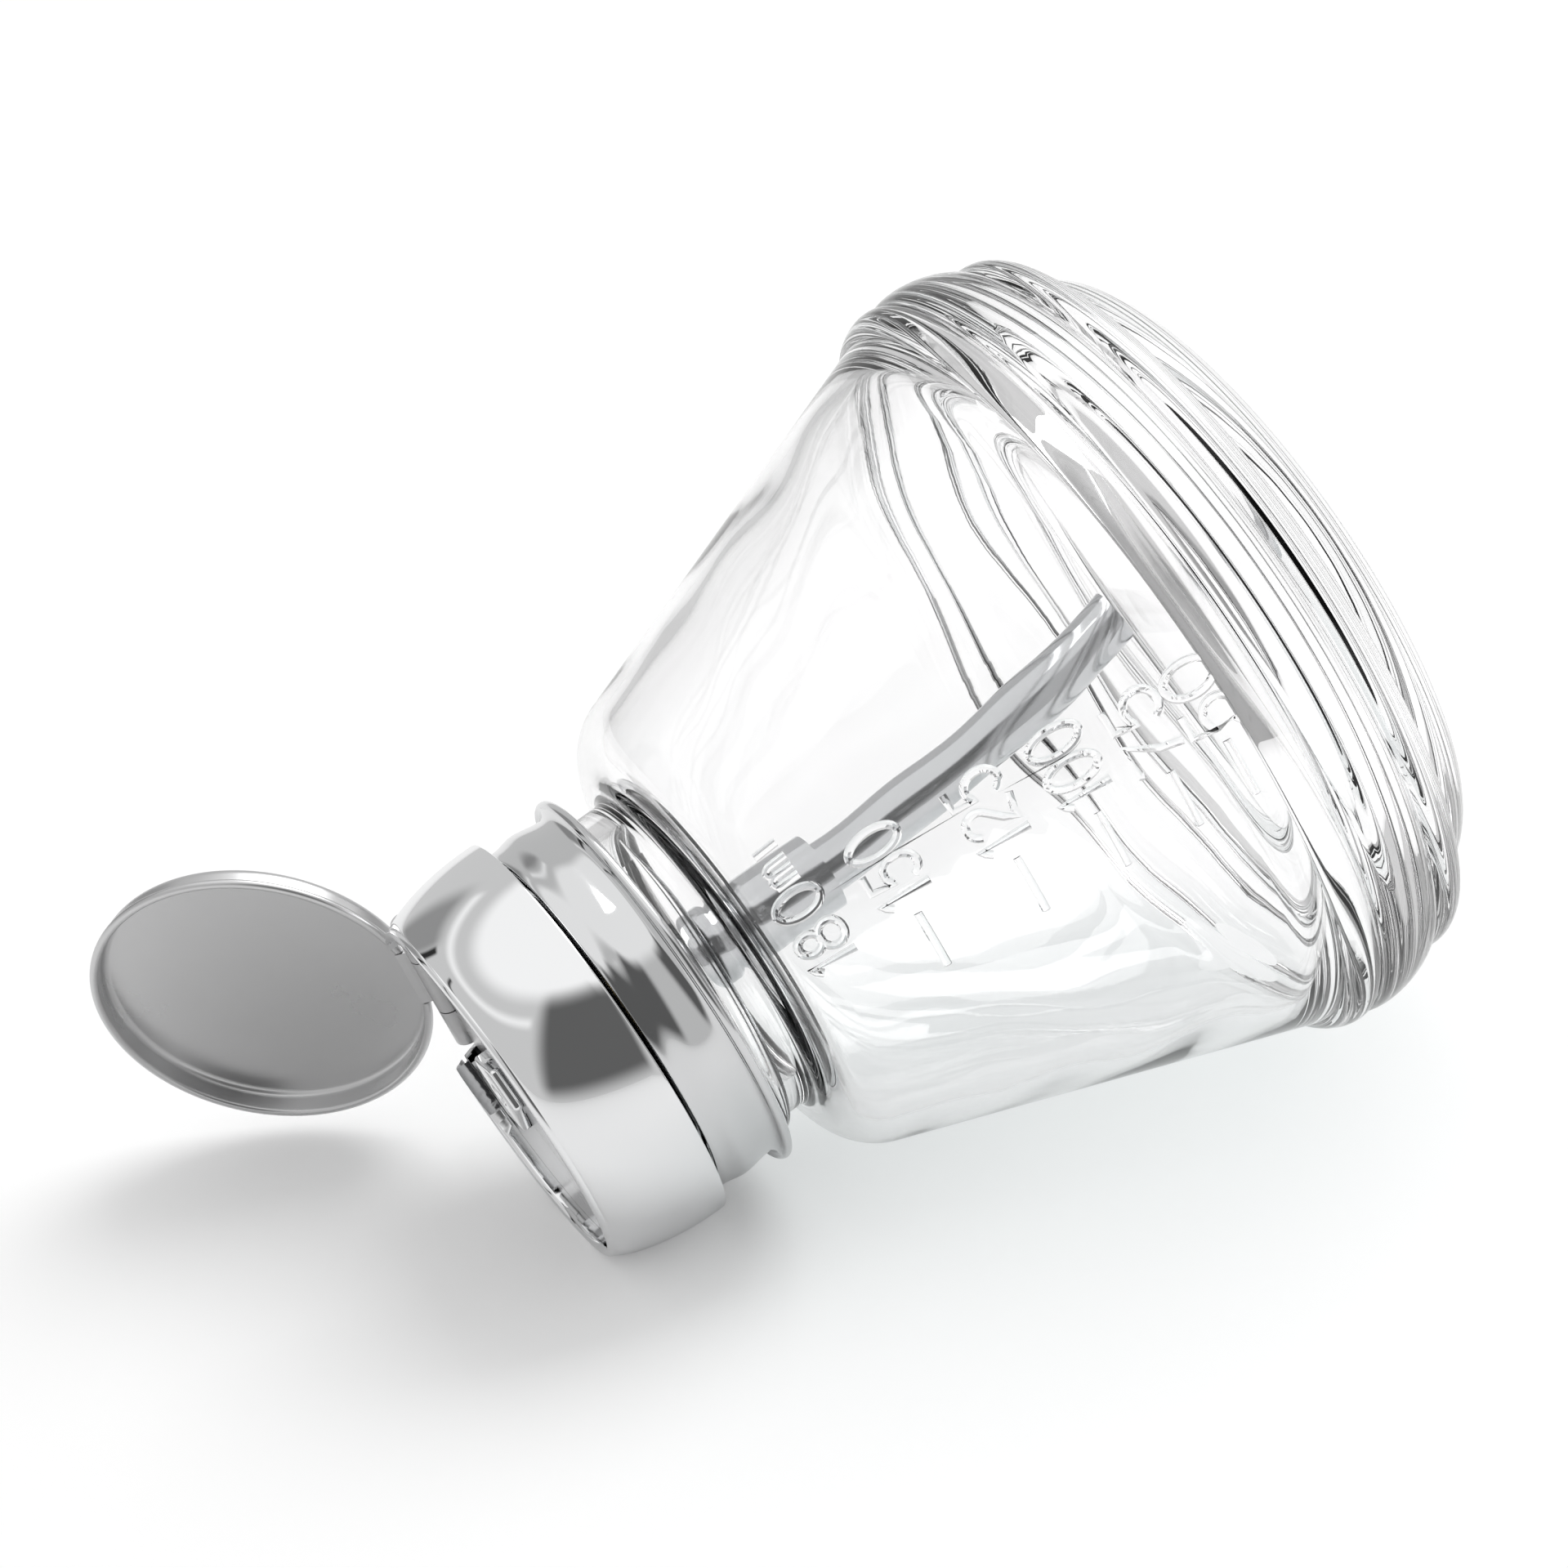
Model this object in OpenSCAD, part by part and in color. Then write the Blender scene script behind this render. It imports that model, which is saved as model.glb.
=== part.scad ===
// Glass bottle with a press-down pump head, a shallow dish and a hinged lid.
// The origin is the centre of the base, +Z runs up the bottle, the lid hinge is on the +Y side.
// The lid is drawn open, as it rests against its stop.

/* [Bottle base] */
// How far the standing ring lies inside the foot of the cone
foot_inset = 11.6; // [10:0.1:13]
// Rounding between the standing ring and the side of the base
foot_round = 6.2; // [3:0.1:7]
// Width of the standing ring
foot_ring = 3; // [2:0.5:5]
// Depth of the hollow under the base
push_up = 5; // [1:0.5:7]
// Height of the middle of the lowest bead
bead_low_z = 8.1; // [7.3:0.1:9]
// Radius of the rounding of the lowest bead
bead_low_round = 2.2; // [1.8:0.1:2.6]
// How far the crest of the lowest bead lies inside the foot of the cone
bead_low_inset = 1.2; // [0.8:0.1:1.5]
// Height of the notch above the middle of the lowest bead
notch_rise = 1.6; // [1.4:0.1:2.4]
// How far that notch lies inside the foot of the cone
notch_inset = 1.7; // [1.5:0.1:2.2]
// Height of the broad bead
bead_mid_h = 7.9; // [6:0.1:9]
// How far the broad bead swells out
bead_mid_swell = 1.6; // [0.8:0.1:2.4]
// Height of the upper bead
bead_top_h = 3.6; // [3:0.1:5]
// How far the upper bead swells out
bead_top_swell = 1.2; // [0.6:0.1:1.8]

/* [Bottle body] */
// Radius of the foot of the cone, at the notch below the upper bead
cone_r = 41.68; // [38:0.1:46]
// Depth of the notch below the upper bead
notch_depth = 0.3; // [0.1:0.1:0.6]
// Half of the angle of the cone
cone_half_angle = 19.7; // [17:0.1:22]
// Radius of the rounded shoulder
shoulder_round = 7.5; // [5:0.1:9]
// Height of the top of the shoulder
shoulder_z = 67.4; // [64:0.1:70]
// Thickness of the glass in the side
glass_wall = 2.2; // [1.5:0.1:3]
// Height of the floor inside the bottle
floor_z = 12.2; // [9:0.1:14]
// Rounding between the floor and the wall inside
floor_round = 4; // [2:0.1:6]

/* [Neck] */
// Outer radius of the neck between its threads
neck_r = 17.4; // [16.5:0.1:18]
// Radius of the bore of the neck
neck_bore_r = 14.8; // [13:0.1:15.5]
// Height of the neck above the shoulder
neck_h = 10.6; // [9.6:0.1:12]
// Rounding at the foot of the neck
neck_fillet = 0.9; // [0.4:0.1:1.2]
// Rounding of the lip of the neck
lip_round = 0.6; // [0.2:0.1:1]

/* [Collar] */
// Thickness of the metal sheet of the collar
collar_sheet = 0.5; // [0.3:0.1:0.7]
// Radius of the outer edge of the rolled flange
collar_flange_r = 20.8; // [20.4:0.1:21.4]
// Radius of the roll that edges the collar
collar_roll = 0.55; // [0.4:0.05:0.8]
// Height of the collar from the middle of the roll to its top
collar_h = 8.05; // [7.6:0.05:8.8]
// Height of the groove above the top of the roll
collar_groove_rise = 0.65; // [0.4:0.05:1]
// Height of the middle of the bulge above the groove
collar_bulge_rise = 3; // [2:0.1:3.5]
// Outer radius of the groove above the flange
collar_groove_r = 19.35; // [19.2:0.05:19.8]
// Outer radius of the bulge round the threads
collar_bulge_r = 19.7; // [19.4:0.05:20.2]
// Radius of the hole in the top of the collar
collar_hole_r = 6.5; // [5.5:0.1:9]
// Rounding of the upper edge of the collar
collar_round = 1.6; // [1:0.1:2.5]

/* [Pump] */
// Thickness of the sealing ring on the lip of the neck
gasket_t = 1; // [0.6:0.1:1.6]
// Radius of the flange of the barrel
flange_r = 16.8; // [16:0.1:17.6]
// Thickness of the flange of the barrel
flange_t = 0.8; // [0.6:0.1:1.2]
// Outer radius of the barrel
barrel_r = 4.15; // [3.9:0.05:4.6]
// Wall of the barrel
barrel_wall = 0.5; // [0.4:0.05:0.7]
// Thickness of the wall across the lower end of the barrel
barrel_end_t = 0.8; // [0.6:0.1:1.4]
// Outer radius of the dip tube
tube_r = 2.8; // [2.4:0.05:3]
// Wall of the dip tube
tube_wall = 0.5; // [0.4:0.05:0.7]
// Length of the dip tube that stands inside the barrel
tube_grip = 1.5; // [1:0.1:2.5]
// Height of the open end of the dip tube above the floor of the bottle
tube_gap = 1.6; // [1:0.1:4]
// Length of straight tube below the barrel
tube_straight = 2; // [1:0.5:8]
// Sideways lean of the dip tube at its open end
tube_lean = 4; // [2:0.1:7]
// Compass angle that the dip tube leans towards
tube_lean_dir = 42.4; // [0:0.1:360]
// Radius of the air hole in the flange
vent_r = 0.6; // [0.4:0.1:1]

/* [Valves] */
// Height of the inlet seat
seat_t = 2; // [1.5:0.1:3]
// Radius of the hole through the inlet seat
seat_hole_r = 1.2; // [0.9:0.05:1.3]
// Radius of the inlet ball
inlet_ball_r = 1.6; // [1.4:0.05:1.8]
// Rise of the inlet ball
inlet_lift = 1; // [0.6:0.1:1.4]
// Thickness of the top of the ball cage
cage_top_t = 0.7; // [0.5:0.1:1]
// Radius of each hole through the ball cage
cage_port_r = 0.55; // [0.4:0.05:0.7]
// Radius of the outlet ball
outlet_ball_r = 1.5; // [1.3:0.05:1.6]
// Rise of the outlet ball
outlet_lift = 0.6; // [0.4:0.1:0.8]

/* [Plunger] */
// Travel of the head when it is pressed
stroke = 5.5; // [3:0.1:6.5]
// Height left between the piston and the ball cage when the head is pressed down
pressed_gap = 4.5; // [4:0.1:7]
// Outer radius of the hollow stem
stem_r = 1.75; // [1.5:0.05:1.9]
// Radius of the passage in the stem
stem_bore_r = 1; // [0.7:0.05:1.1]
// Radius of the collar at the top of the stem
stem_head_r = 2.6; // [2.3:0.05:2.8]
// Thickness of the collar at the top of the stem
stem_head_t = 0.5; // [0.4:0.1:0.8]
// Length of the stem that is held in the piston
stem_grip = 3; // [2:0.1:3.4]
// Length of the piston
piston_len = 4.2; // [3.8:0.1:5]
// Length of the nose of the piston that centres the spring
nose_len = 1.2; // [0.8:0.1:1.6]
// Radius of the section of the piston ring
ring_section = 0.55; // [0.4:0.05:0.6]
// Length of the guide bush
bush_len = 3.8; // [3:0.1:5]
// Radius of the section of the stem seal
seal_section = 0.5; // [0.4:0.05:0.6]

/* [Spring] */
// Radius of the wire of the return spring
wire_r = 0.3; // [0.2:0.02:0.35]
// Number of turns of the return spring
spring_turns = 6; // [4:1:8]
// Gap between the spring and the barrel
spring_gap = 0.25; // [0.15:0.05:0.5]
// Gap between the flat end turns and the next turns
spring_clear = 0.45; // [0.42:0.01:0.6]

/* [Head] */
// How far the lower edge of the head laps the collar
head_lap = 0.4; // [0:0.1:1]
// Outer radius of the lower edge of the head
head_r = 21.1; // [20.9:0.1:22.5]
// Height of the crest of the ridge above the dish plate
ridge_rise = 3.05; // [2.7:0.05:3.4]
// Height of the straight skirt at the lower edge of the head
head_skirt = 1; // [0.5:0.1:3]
// How far the side of the head bows out between skirt and ridge
head_bow = 1.6; // [1:0.1:2]
// Thickness of the metal sheet of the head
head_sheet = 0.4; // [0.3:0.05:0.6]
// Half of the width of the ridge
ridge_half = 0.6; // [0.5:0.05:0.8]
// Height of the hem that the ridge is folded into, below its rounding
ridge_hem = 1; // [0.6:0.1:1.2]
// Thickness of the dish plate
dish_t = 0.5; // [0.4:0.05:0.6]
// Width of the ledge that carries the dish plate
ledge_w = 2.2; // [1.5:0.1:3]
// Radius of the hub under the dish plate
hub_r = 4.6; // [4.2:0.1:5]
// Height of the hub
hub_len = 2.5; // [2.2:0.1:2.6]
// Room between the hub and the flange of the barrel when the head is pressed down
hub_room = 0.4; // [0.3:0.05:1]
// Thickness of the step in the hub that lifts with the stem
hub_step_t = 1; // [0.8:0.1:1.2]

/* [Outlet] */
// Distance between two opposite flats of the outlet fitting
hex_flats = 7.53; // [7:0.05:9]
// Thickness of the top of the outlet fitting
hex_cap_t = 0.7; // [0.5:0.05:0.8]
// Radius of the outlet hole
outlet_r = 1.1; // [0.8:0.05:1.2]
// Compass angle that one flat of the outlet fitting faces
hex_dir = -47.6; // [-180:0.1:180]
// Thickness of the washer under the outlet fitting
washer_t = 0.4; // [0.3:0.05:0.6]
// Radius of the washer under the outlet fitting
washer_r = 3.6; // [3.3:0.05:3.7]
// Wall of the shank of the outlet fitting
shank_wall = 0.85; // [0.6:0.05:1]

/* [Hinge] */
// Distance of the hinge pin outside the ridge
hinge_out = 0.3; // [0.1:0.05:0.6]
// Distance of the hinge pin below the top of the dish plate
hinge_sink = 0.1; // [0:0.05:0.2]
// Radius of the hinge pin
pin_r = 0.6; // [0.5:0.05:0.75]
// Outer radius of the hinge knuckles
knuckle_r = 1.35; // [1.3:0.05:1.5]
// Width over both knuckles
hinge_w = 17; // [14:0.1:18]
// Width of the strap of the lid
strap_w = 7.2; // [5:0.1:9]
// Distance that the slot for the hinge reaches in over the dish
slot_reach = 2.9; // [2.5:0.1:3.5]
// Radius of the rivet hole beside the hinge
rivet_r = 0.45; // [0.3:0.05:0.6]
// Distance of the rivet hole from the corner of the hinge tab
rivet_inset = 1.2; // [0.8:0.1:2]
// Play between the lid strap and the knuckles beside it
knuckle_gap = 0.15; // [0.1:0.01:0.3]
// Depth of the slot in the side of the head below the hinge pin
slot_drop = 1.8; // [1.7:0.05:2.2]

/* [Lid] */
// Radius of the rolled rim of the lid
lid_r = 17.35; // [16.5:0.05:17.6]
// Thickness of the metal sheet of the lid
lid_sheet = 0.45; // [0.3:0.05:0.5]
// Radius of the roll that edges the lid
lid_roll = 0.45; // [0.4:0.05:0.6]
// Height of the rim of the closed lid above the hinge pin
lid_rim_rise = 0.5; // [0.4:0.05:0.7]
// Depth of the lid under its top
lid_depth = 2.55; // [2.5:0.05:3.5]
// Crown of the top of the lid
lid_crown = 0.4; // [0.2:0.05:0.8]
// Rounding of the edge of the lid
lid_round = 1.2; // [0.8:0.1:1.6]
// Angle by which the lid stands open
lid_open = 127.6; // [100:0.1:130]

/* [Fits] */
// Radial clearance of pieces that are pressed or screwed together
press_fit = 0.02; // [0.01:0.01:0.04]
// Radial clearance of pieces that slide or turn in each other
running_fit = 0.05; // [0.03:0.01:0.08]
// Clearance between the closed lid and the ridge round the dish
lid_gap = 0.35; // [0.3:0.05:0.6]
// Clearance between the swinging rim of the lid and the relief for it in the ridge
relief_gap = 0.15; // [0.1:0.01:0.2]
// Clearance between pieces that pass each other
pass_gap = 0.3; // [0.2:0.05:0.4]
// Clearance between pieces that lie face to face
face_gap = 0.02; // [0.01:0.01:0.05]

/* [Hidden] */

glass = [0.86, 0.9, 0.9, 0.45];
chrome = [0.78, 0.79, 0.8];
satin = [0.62, 0.63, 0.64];
steel = [0.7, 0.71, 0.73];
brass = [0.8, 0.66, 0.36];
seal_colour = [0.2, 0.2, 0.22];
arc_steps = 10;
relief_end = 60;
crown_steps = 5;
round_fn = 96;
fine_fn = 48;
slack = 1;

// Beads round the base
bead_low_start = -80;
bead_low_end = acos(1 - (notch_inset - bead_low_inset) / bead_low_round);
foot_r = cone_r - foot_inset;
notch_r = cone_r - notch_inset;
bead_mid_z = bead_low_z + notch_rise;
bead_top_z = bead_mid_z + bead_mid_h;
bead_end_z = bead_top_z + bead_top_h;

// Cone of the bottle, outside and inside
cone_slope = tan(cone_half_angle);
function cone_at(z) = cone_r - (z - bead_top_z) * cone_slope;
inner_shift = glass_wall / cos(cone_half_angle);
shoulder_c_z = shoulder_z - shoulder_round;
shoulder_t_z = shoulder_c_z + shoulder_round * sin(cone_half_angle);
shoulder_c_r = cone_at(shoulder_t_z) - shoulder_round * cos(cone_half_angle);
inner_round = shoulder_round - glass_wall;
inner_low_r = cone_at(bead_top_z) - inner_shift;

// Heights up the neck and down the pump
neck_top_z = shoulder_z + neck_h;
gasket_top_z = neck_top_z + gasket_t;
flange_top_z = gasket_top_z + flange_t;
collar_plate_z = flange_top_z + collar_sheet;
collar_roll_z = collar_plate_z - collar_h;
barrel_bore_r = barrel_r - barrel_wall;
bush_low_z = flange_top_z - bush_len;
piston_top_z = bush_low_z - pass_gap;
piston_low_z = piston_top_z - piston_len;
cage_r = barrel_bore_r - press_fit;
cage_bore_r = inlet_ball_r + pass_gap;
cage_top_z = piston_low_z - stroke - pressed_gap;
cage_under_z = cage_top_z - cage_top_t;
inlet_ball_z = cage_under_z - pass_gap - inlet_lift - inlet_ball_r;
seat_top_z = inlet_ball_z - face_gap - sqrt(pow(inlet_ball_r, 2) - pow(seat_hole_r, 2));
cage_z = seat_top_z + face_gap;
seat_z = seat_top_z - seat_t;
tube_top_z = seat_z - face_gap;
barrel_end_z = tube_top_z - tube_grip;
tube_bend_z = barrel_end_z - tube_straight;
tube_end_z = floor_z + tube_gap;
piston_r = barrel_bore_r - running_fit;
ring_mid_r = piston_r - ring_section;
ring_z = piston_low_z + nose_len + (piston_len - nose_len) / 2;
spring_r = barrel_bore_r - spring_gap - wire_r;
nose_r = spring_r - wire_r - spring_gap;
spring_low_z = cage_top_z + wire_r + face_gap;
spring_high_z = piston_low_z + nose_len - wire_r - face_gap;

// Heights in the head
hub_low_z = flange_top_z + stroke + hub_room;
dish_under_z = hub_low_z + hub_len;
dish_z = dish_under_z + dish_t;
hinge_z = dish_z - hinge_sink;
shank_bore_r = outlet_ball_r + pass_gap;
shank_r = shank_bore_r + shank_wall;
hub_bore_r = shank_r + press_fit;
hub_step_z = hub_low_z + hub_step_t;
stem_head_z = hub_step_z + running_fit;
stem_top_z = stem_head_z + stem_head_t;
shank_low_z = stem_top_z + running_fit;
outlet_ball_z = stem_top_z + sqrt(pow(outlet_ball_r, 2) - pow(stem_bore_r, 2)) + face_gap;
hex_low_z = dish_z + washer_t;
hex_bore_z = outlet_ball_z + outlet_ball_r + outlet_lift + pass_gap;
hex_top_z = hex_bore_z + hex_cap_t;
ridge_in_r = lid_r + lid_gap;
ridge_mid_r = ridge_in_r + ridge_half;
ridge_out_r = ridge_mid_r + ridge_half;
hinge_y = ridge_out_r + hinge_out;
ridge_z = dish_z + ridge_rise;
ridge_round_z = ridge_z - ridge_half;
hem_low_z = ridge_round_z - ridge_hem;
head_low_z = collar_plate_z - head_lap;
head_side_z = head_low_z + head_skirt;
head_side_h = ridge_round_z - head_side_z;
hem_angle = asin((hem_low_z - head_side_z) / head_side_h);
ledge_r = ridge_in_r - ledge_w;
hinge_slot_w = hinge_w + 2 * pass_gap;
hinge_tab_y = ridge_in_r - slot_reach;
knuckle_w = hinge_w / 2 - strap_w / 2 - knuckle_gap;

// Points along an arc in the plane of a profile, from angle a to angle b
function arc(x, y, r, a, b) =
    [for (i = [0 : arc_steps])
        let (t = a + (b - a) * i / arc_steps)
        [x + r * cos(t), y + r * sin(t)]];

// Points along a bead that swells out between two heights on a base line
function bead(z0, z1, r0, r1, swell) =
    [for (i = [1 : arc_steps - 1])
        let (s = i / arc_steps, base = r0 + (r1 - r0) * s)
        [base + swell * sqrt(1 - pow(2 * s - 1, 2)), z0 + (z1 - z0) * s]];

module glass_outline() {
    ring_r = foot_r - foot_ring;
    polygon(concat(
        [for (i = [0 : arc_steps]) let (t = 90 * i / arc_steps) [ring_r * sin(t), push_up * cos(t)]],
        arc(foot_r, foot_round, foot_round, -90, 0),
        arc(cone_r - bead_low_inset - bead_low_round, bead_low_z, bead_low_round, bead_low_start, bead_low_end),
        [[notch_r, bead_mid_z]],
        bead(bead_mid_z, bead_top_z, notch_r, cone_r - notch_depth, bead_mid_swell),
        [[cone_r - notch_depth, bead_top_z]],
        bead(bead_top_z, bead_end_z, cone_r - notch_depth, cone_at(bead_end_z), bead_top_swell),
        [[cone_at(bead_end_z), bead_end_z]],
        arc(shoulder_c_r, shoulder_c_z, shoulder_round, cone_half_angle, 90),
        arc(neck_r + neck_fillet, shoulder_z + neck_fillet, neck_fillet, 270, 180),
        arc(neck_r - lip_round, neck_top_z - lip_round, lip_round, 0, 90),
        [[0, neck_top_z]]));
}

module glass_hollow() {
    polygon(concat(
        [[0, floor_z]],
        arc(inner_low_r - floor_round, floor_z + floor_round, floor_round, -90, 0),
        [[inner_low_r, bead_top_z]],
        arc(shoulder_c_r, shoulder_c_z, inner_round, cone_half_angle, 90),
        [[neck_bore_r, shoulder_z - glass_wall],
         [neck_bore_r, neck_top_z + slack],
         [0, neck_top_z + slack]]));
}

module glass_bottle() {
    color(glass)
    rotate_extrude($fn = round_fn)
    difference() {
        glass_outline();
        glass_hollow();
    }
}

module neck_gasket() {
    color(seal_colour)
    translate([0, 0, neck_top_z])
    difference() {
        cylinder(h = gasket_t, r = neck_r - press_fit, $fn = round_fn);
        translate([0, 0, -slack]) cylinder(h = gasket_t + 2 * slack, r = neck_bore_r, $fn = round_fn);
    }
}

module pump_barrel() {
    color(steel)
    difference() {
        union() {
            translate([0, 0, gasket_top_z]) cylinder(h = flange_t, r = flange_r, $fn = round_fn);
            translate([0, 0, barrel_end_z])
            cylinder(h = flange_top_z - barrel_end_z, r = barrel_r, $fn = fine_fn);
        }
        translate([0, 0, barrel_end_z + barrel_end_t])
        cylinder(h = flange_top_z - barrel_end_z, r = barrel_bore_r, $fn = fine_fn);
        translate([0, 0, barrel_end_z - slack])
        cylinder(h = barrel_end_t + 2 * slack, r = tube_r + press_fit, $fn = fine_fn);
        translate([(barrel_r + collar_hole_r) / 2, 0, gasket_top_z - slack])
        cylinder(h = flange_t + 2 * slack, r = vent_r, $fn = 24);
    }
}

module guide_bush() {
    groove_h = 2 * seal_section + 2 * face_gap;
    color(brass)
    difference() {
        translate([0, 0, bush_low_z])
        cylinder(h = bush_len, r = barrel_bore_r - press_fit, $fn = fine_fn);
        translate([0, 0, bush_low_z - slack])
        cylinder(h = bush_len + 2 * slack, r = stem_r + running_fit, $fn = fine_fn);
        translate([0, 0, bush_low_z + bush_len / 2 - groove_h / 2])
        cylinder(h = groove_h, r = stem_r + running_fit + 2 * seal_section + face_gap, $fn = fine_fn);
    }
}

module stem_seal() {
    color(seal_colour)
    translate([0, 0, bush_low_z + bush_len / 2])
    rotate_extrude($fn = fine_fn)
    translate([stem_r + running_fit + seal_section, 0])
    circle(r = seal_section, $fn = 24);
}

module dip_tube() {
    drop = tube_bend_z - tube_end_z;
    bend_r = (drop * drop + tube_lean * tube_lean) / (2 * tube_lean);
    bend_angle = asin(drop / bend_r);
    color(steel) {
        rotate([0, 0, tube_lean_dir])
        union() {
            translate([0, 0, tube_bend_z])
            difference() {
                cylinder(h = tube_top_z - tube_bend_z, r = tube_r, $fn = fine_fn);
                translate([0, 0, -slack])
                cylinder(h = tube_top_z - tube_bend_z + 2 * slack, r = tube_r - tube_wall, $fn = fine_fn);
            }
            translate([bend_r, 0, tube_bend_z])
            rotate([90, 0, 180])
            rotate_extrude(angle = -bend_angle, $fn = 360)
            translate([bend_r, 0])
            difference() {
                circle(r = tube_r, $fn = fine_fn);
                circle(r = tube_r - tube_wall, $fn = fine_fn);
            }
        }
    }
}

module inlet_seat() {
    color(brass)
    translate([0, 0, seat_z])
    difference() {
        cylinder(h = seat_t, r = cage_r, $fn = fine_fn);
        translate([0, 0, -slack]) cylinder(h = seat_t + 2 * slack, r = seat_hole_r, $fn = fine_fn);
    }
}

module inlet_ball() {
    color(chrome)
    translate([0, 0, inlet_ball_z])
    sphere(r = inlet_ball_r, $fn = fine_fn);
}

module ball_cage() {
    color(brass)
    difference() {
        translate([0, 0, cage_z]) cylinder(h = cage_top_z - cage_z, r = cage_r, $fn = fine_fn);
        translate([0, 0, cage_z - slack])
        cylinder(h = cage_under_z - cage_z + slack, r = cage_bore_r, $fn = fine_fn);
        for (a = [0 : 120 : 240])
            rotate([0, 0, a])
            translate([cage_bore_r - cage_port_r - pass_gap / 2, 0, cage_under_z - slack])
            cylinder(h = cage_top_t + 2 * slack, r = cage_port_r, $fn = 24);
    }
}

// The spring is one wire swept round a helix whose two end turns lie flatter than the rest
spring_rings = 8 * spring_turns;
spring_sides = 6;
close_turn = 2 * wire_r + spring_clear;
open_turns = spring_turns - 2;
open_rise = spring_high_z - spring_low_z - 2 * close_turn;
function spring_z(s) = spring_low_z
    + close_turn * min(s, 1)
    + open_rise * min(max(s - 1, 0), open_turns) / open_turns
    + close_turn * max(s - 1 - open_turns, 0);
function spring_point(i) = let (s = i * spring_turns / spring_rings, a = 360 * s)
    [spring_r * cos(a), spring_r * sin(a), spring_z(s)];
spring_path = [for (i = [0 : spring_rings]) spring_point(i)];
spring_self_gap = min([for (i = [0 : spring_rings - 6]) for (j = [i + 6 : spring_rings])
    norm(spring_path[i] - spring_path[j])]) - 2 * wire_r;
echo(spring_gap_to_itself = spring_self_gap);

function ring_points(i) = let (a = 360 * i * spring_turns / spring_rings)
    [for (k = [0 : spring_sides - 1])
        let (t = 360 * k / spring_sides)
        spring_path[i] + wire_r * [cos(t) * cos(a), cos(t) * sin(a), sin(t)]];

module return_spring() {
    points = [for (i = [0 : spring_rings]) each ring_points(i)];
    sides = [for (i = [0 : spring_rings - 1]) for (k = [0 : spring_sides - 1])
        let (a = i * spring_sides + k,
             b = i * spring_sides + (k + 1) % spring_sides,
             c = b + spring_sides,
             d = a + spring_sides)
        each [[a, b, c], [a, c, d]]];
    first_cap = [[for (k = [spring_sides - 1 : -1 : 0]) k]];
    last_cap = [[for (k = [0 : spring_sides - 1]) spring_rings * spring_sides + k]];
    color(steel)
    polyhedron(points = points, faces = concat(sides, first_cap, last_cap));
}

module piston() {
    groove_h = 2 * ring_section + 2 * face_gap;
    color(brass)
    difference() {
        union() {
            translate([0, 0, piston_low_z]) cylinder(h = piston_len, r = nose_r, $fn = fine_fn);
            translate([0, 0, piston_low_z + nose_len])
            cylinder(h = piston_len - nose_len, r = piston_r, $fn = fine_fn);
        }
        translate([0, 0, piston_low_z - slack])
        cylinder(h = piston_len + 2 * slack, r = stem_bore_r, $fn = fine_fn);
        translate([0, 0, piston_top_z - stem_grip])
        cylinder(h = stem_grip + slack, r = stem_r + press_fit, $fn = fine_fn);
        translate([0, 0, ring_z - groove_h / 2])
        difference() {
            cylinder(h = groove_h, r = piston_r + slack, $fn = fine_fn);
            translate([0, 0, -slack])
            cylinder(h = groove_h + 2 * slack, r = ring_mid_r - ring_section - face_gap, $fn = fine_fn);
        }
    }
}

module piston_ring() {
    color(seal_colour)
    translate([0, 0, ring_z])
    rotate_extrude($fn = fine_fn)
    translate([ring_mid_r, 0])
    circle(r = ring_section, $fn = 24);
}

module plunger_stem() {
    stem_low_z = piston_top_z - stem_grip + face_gap;
    color(steel)
    difference() {
        union() {
            translate([0, 0, stem_low_z])
            cylinder(h = stem_top_z - stem_low_z, r = stem_r, $fn = fine_fn);
            translate([0, 0, stem_head_z]) cylinder(h = stem_head_t, r = stem_head_r, $fn = fine_fn);
        }
        translate([0, 0, stem_low_z - slack])
        cylinder(h = stem_top_z - stem_low_z + 2 * slack, r = stem_bore_r, $fn = fine_fn);
    }
}

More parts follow.
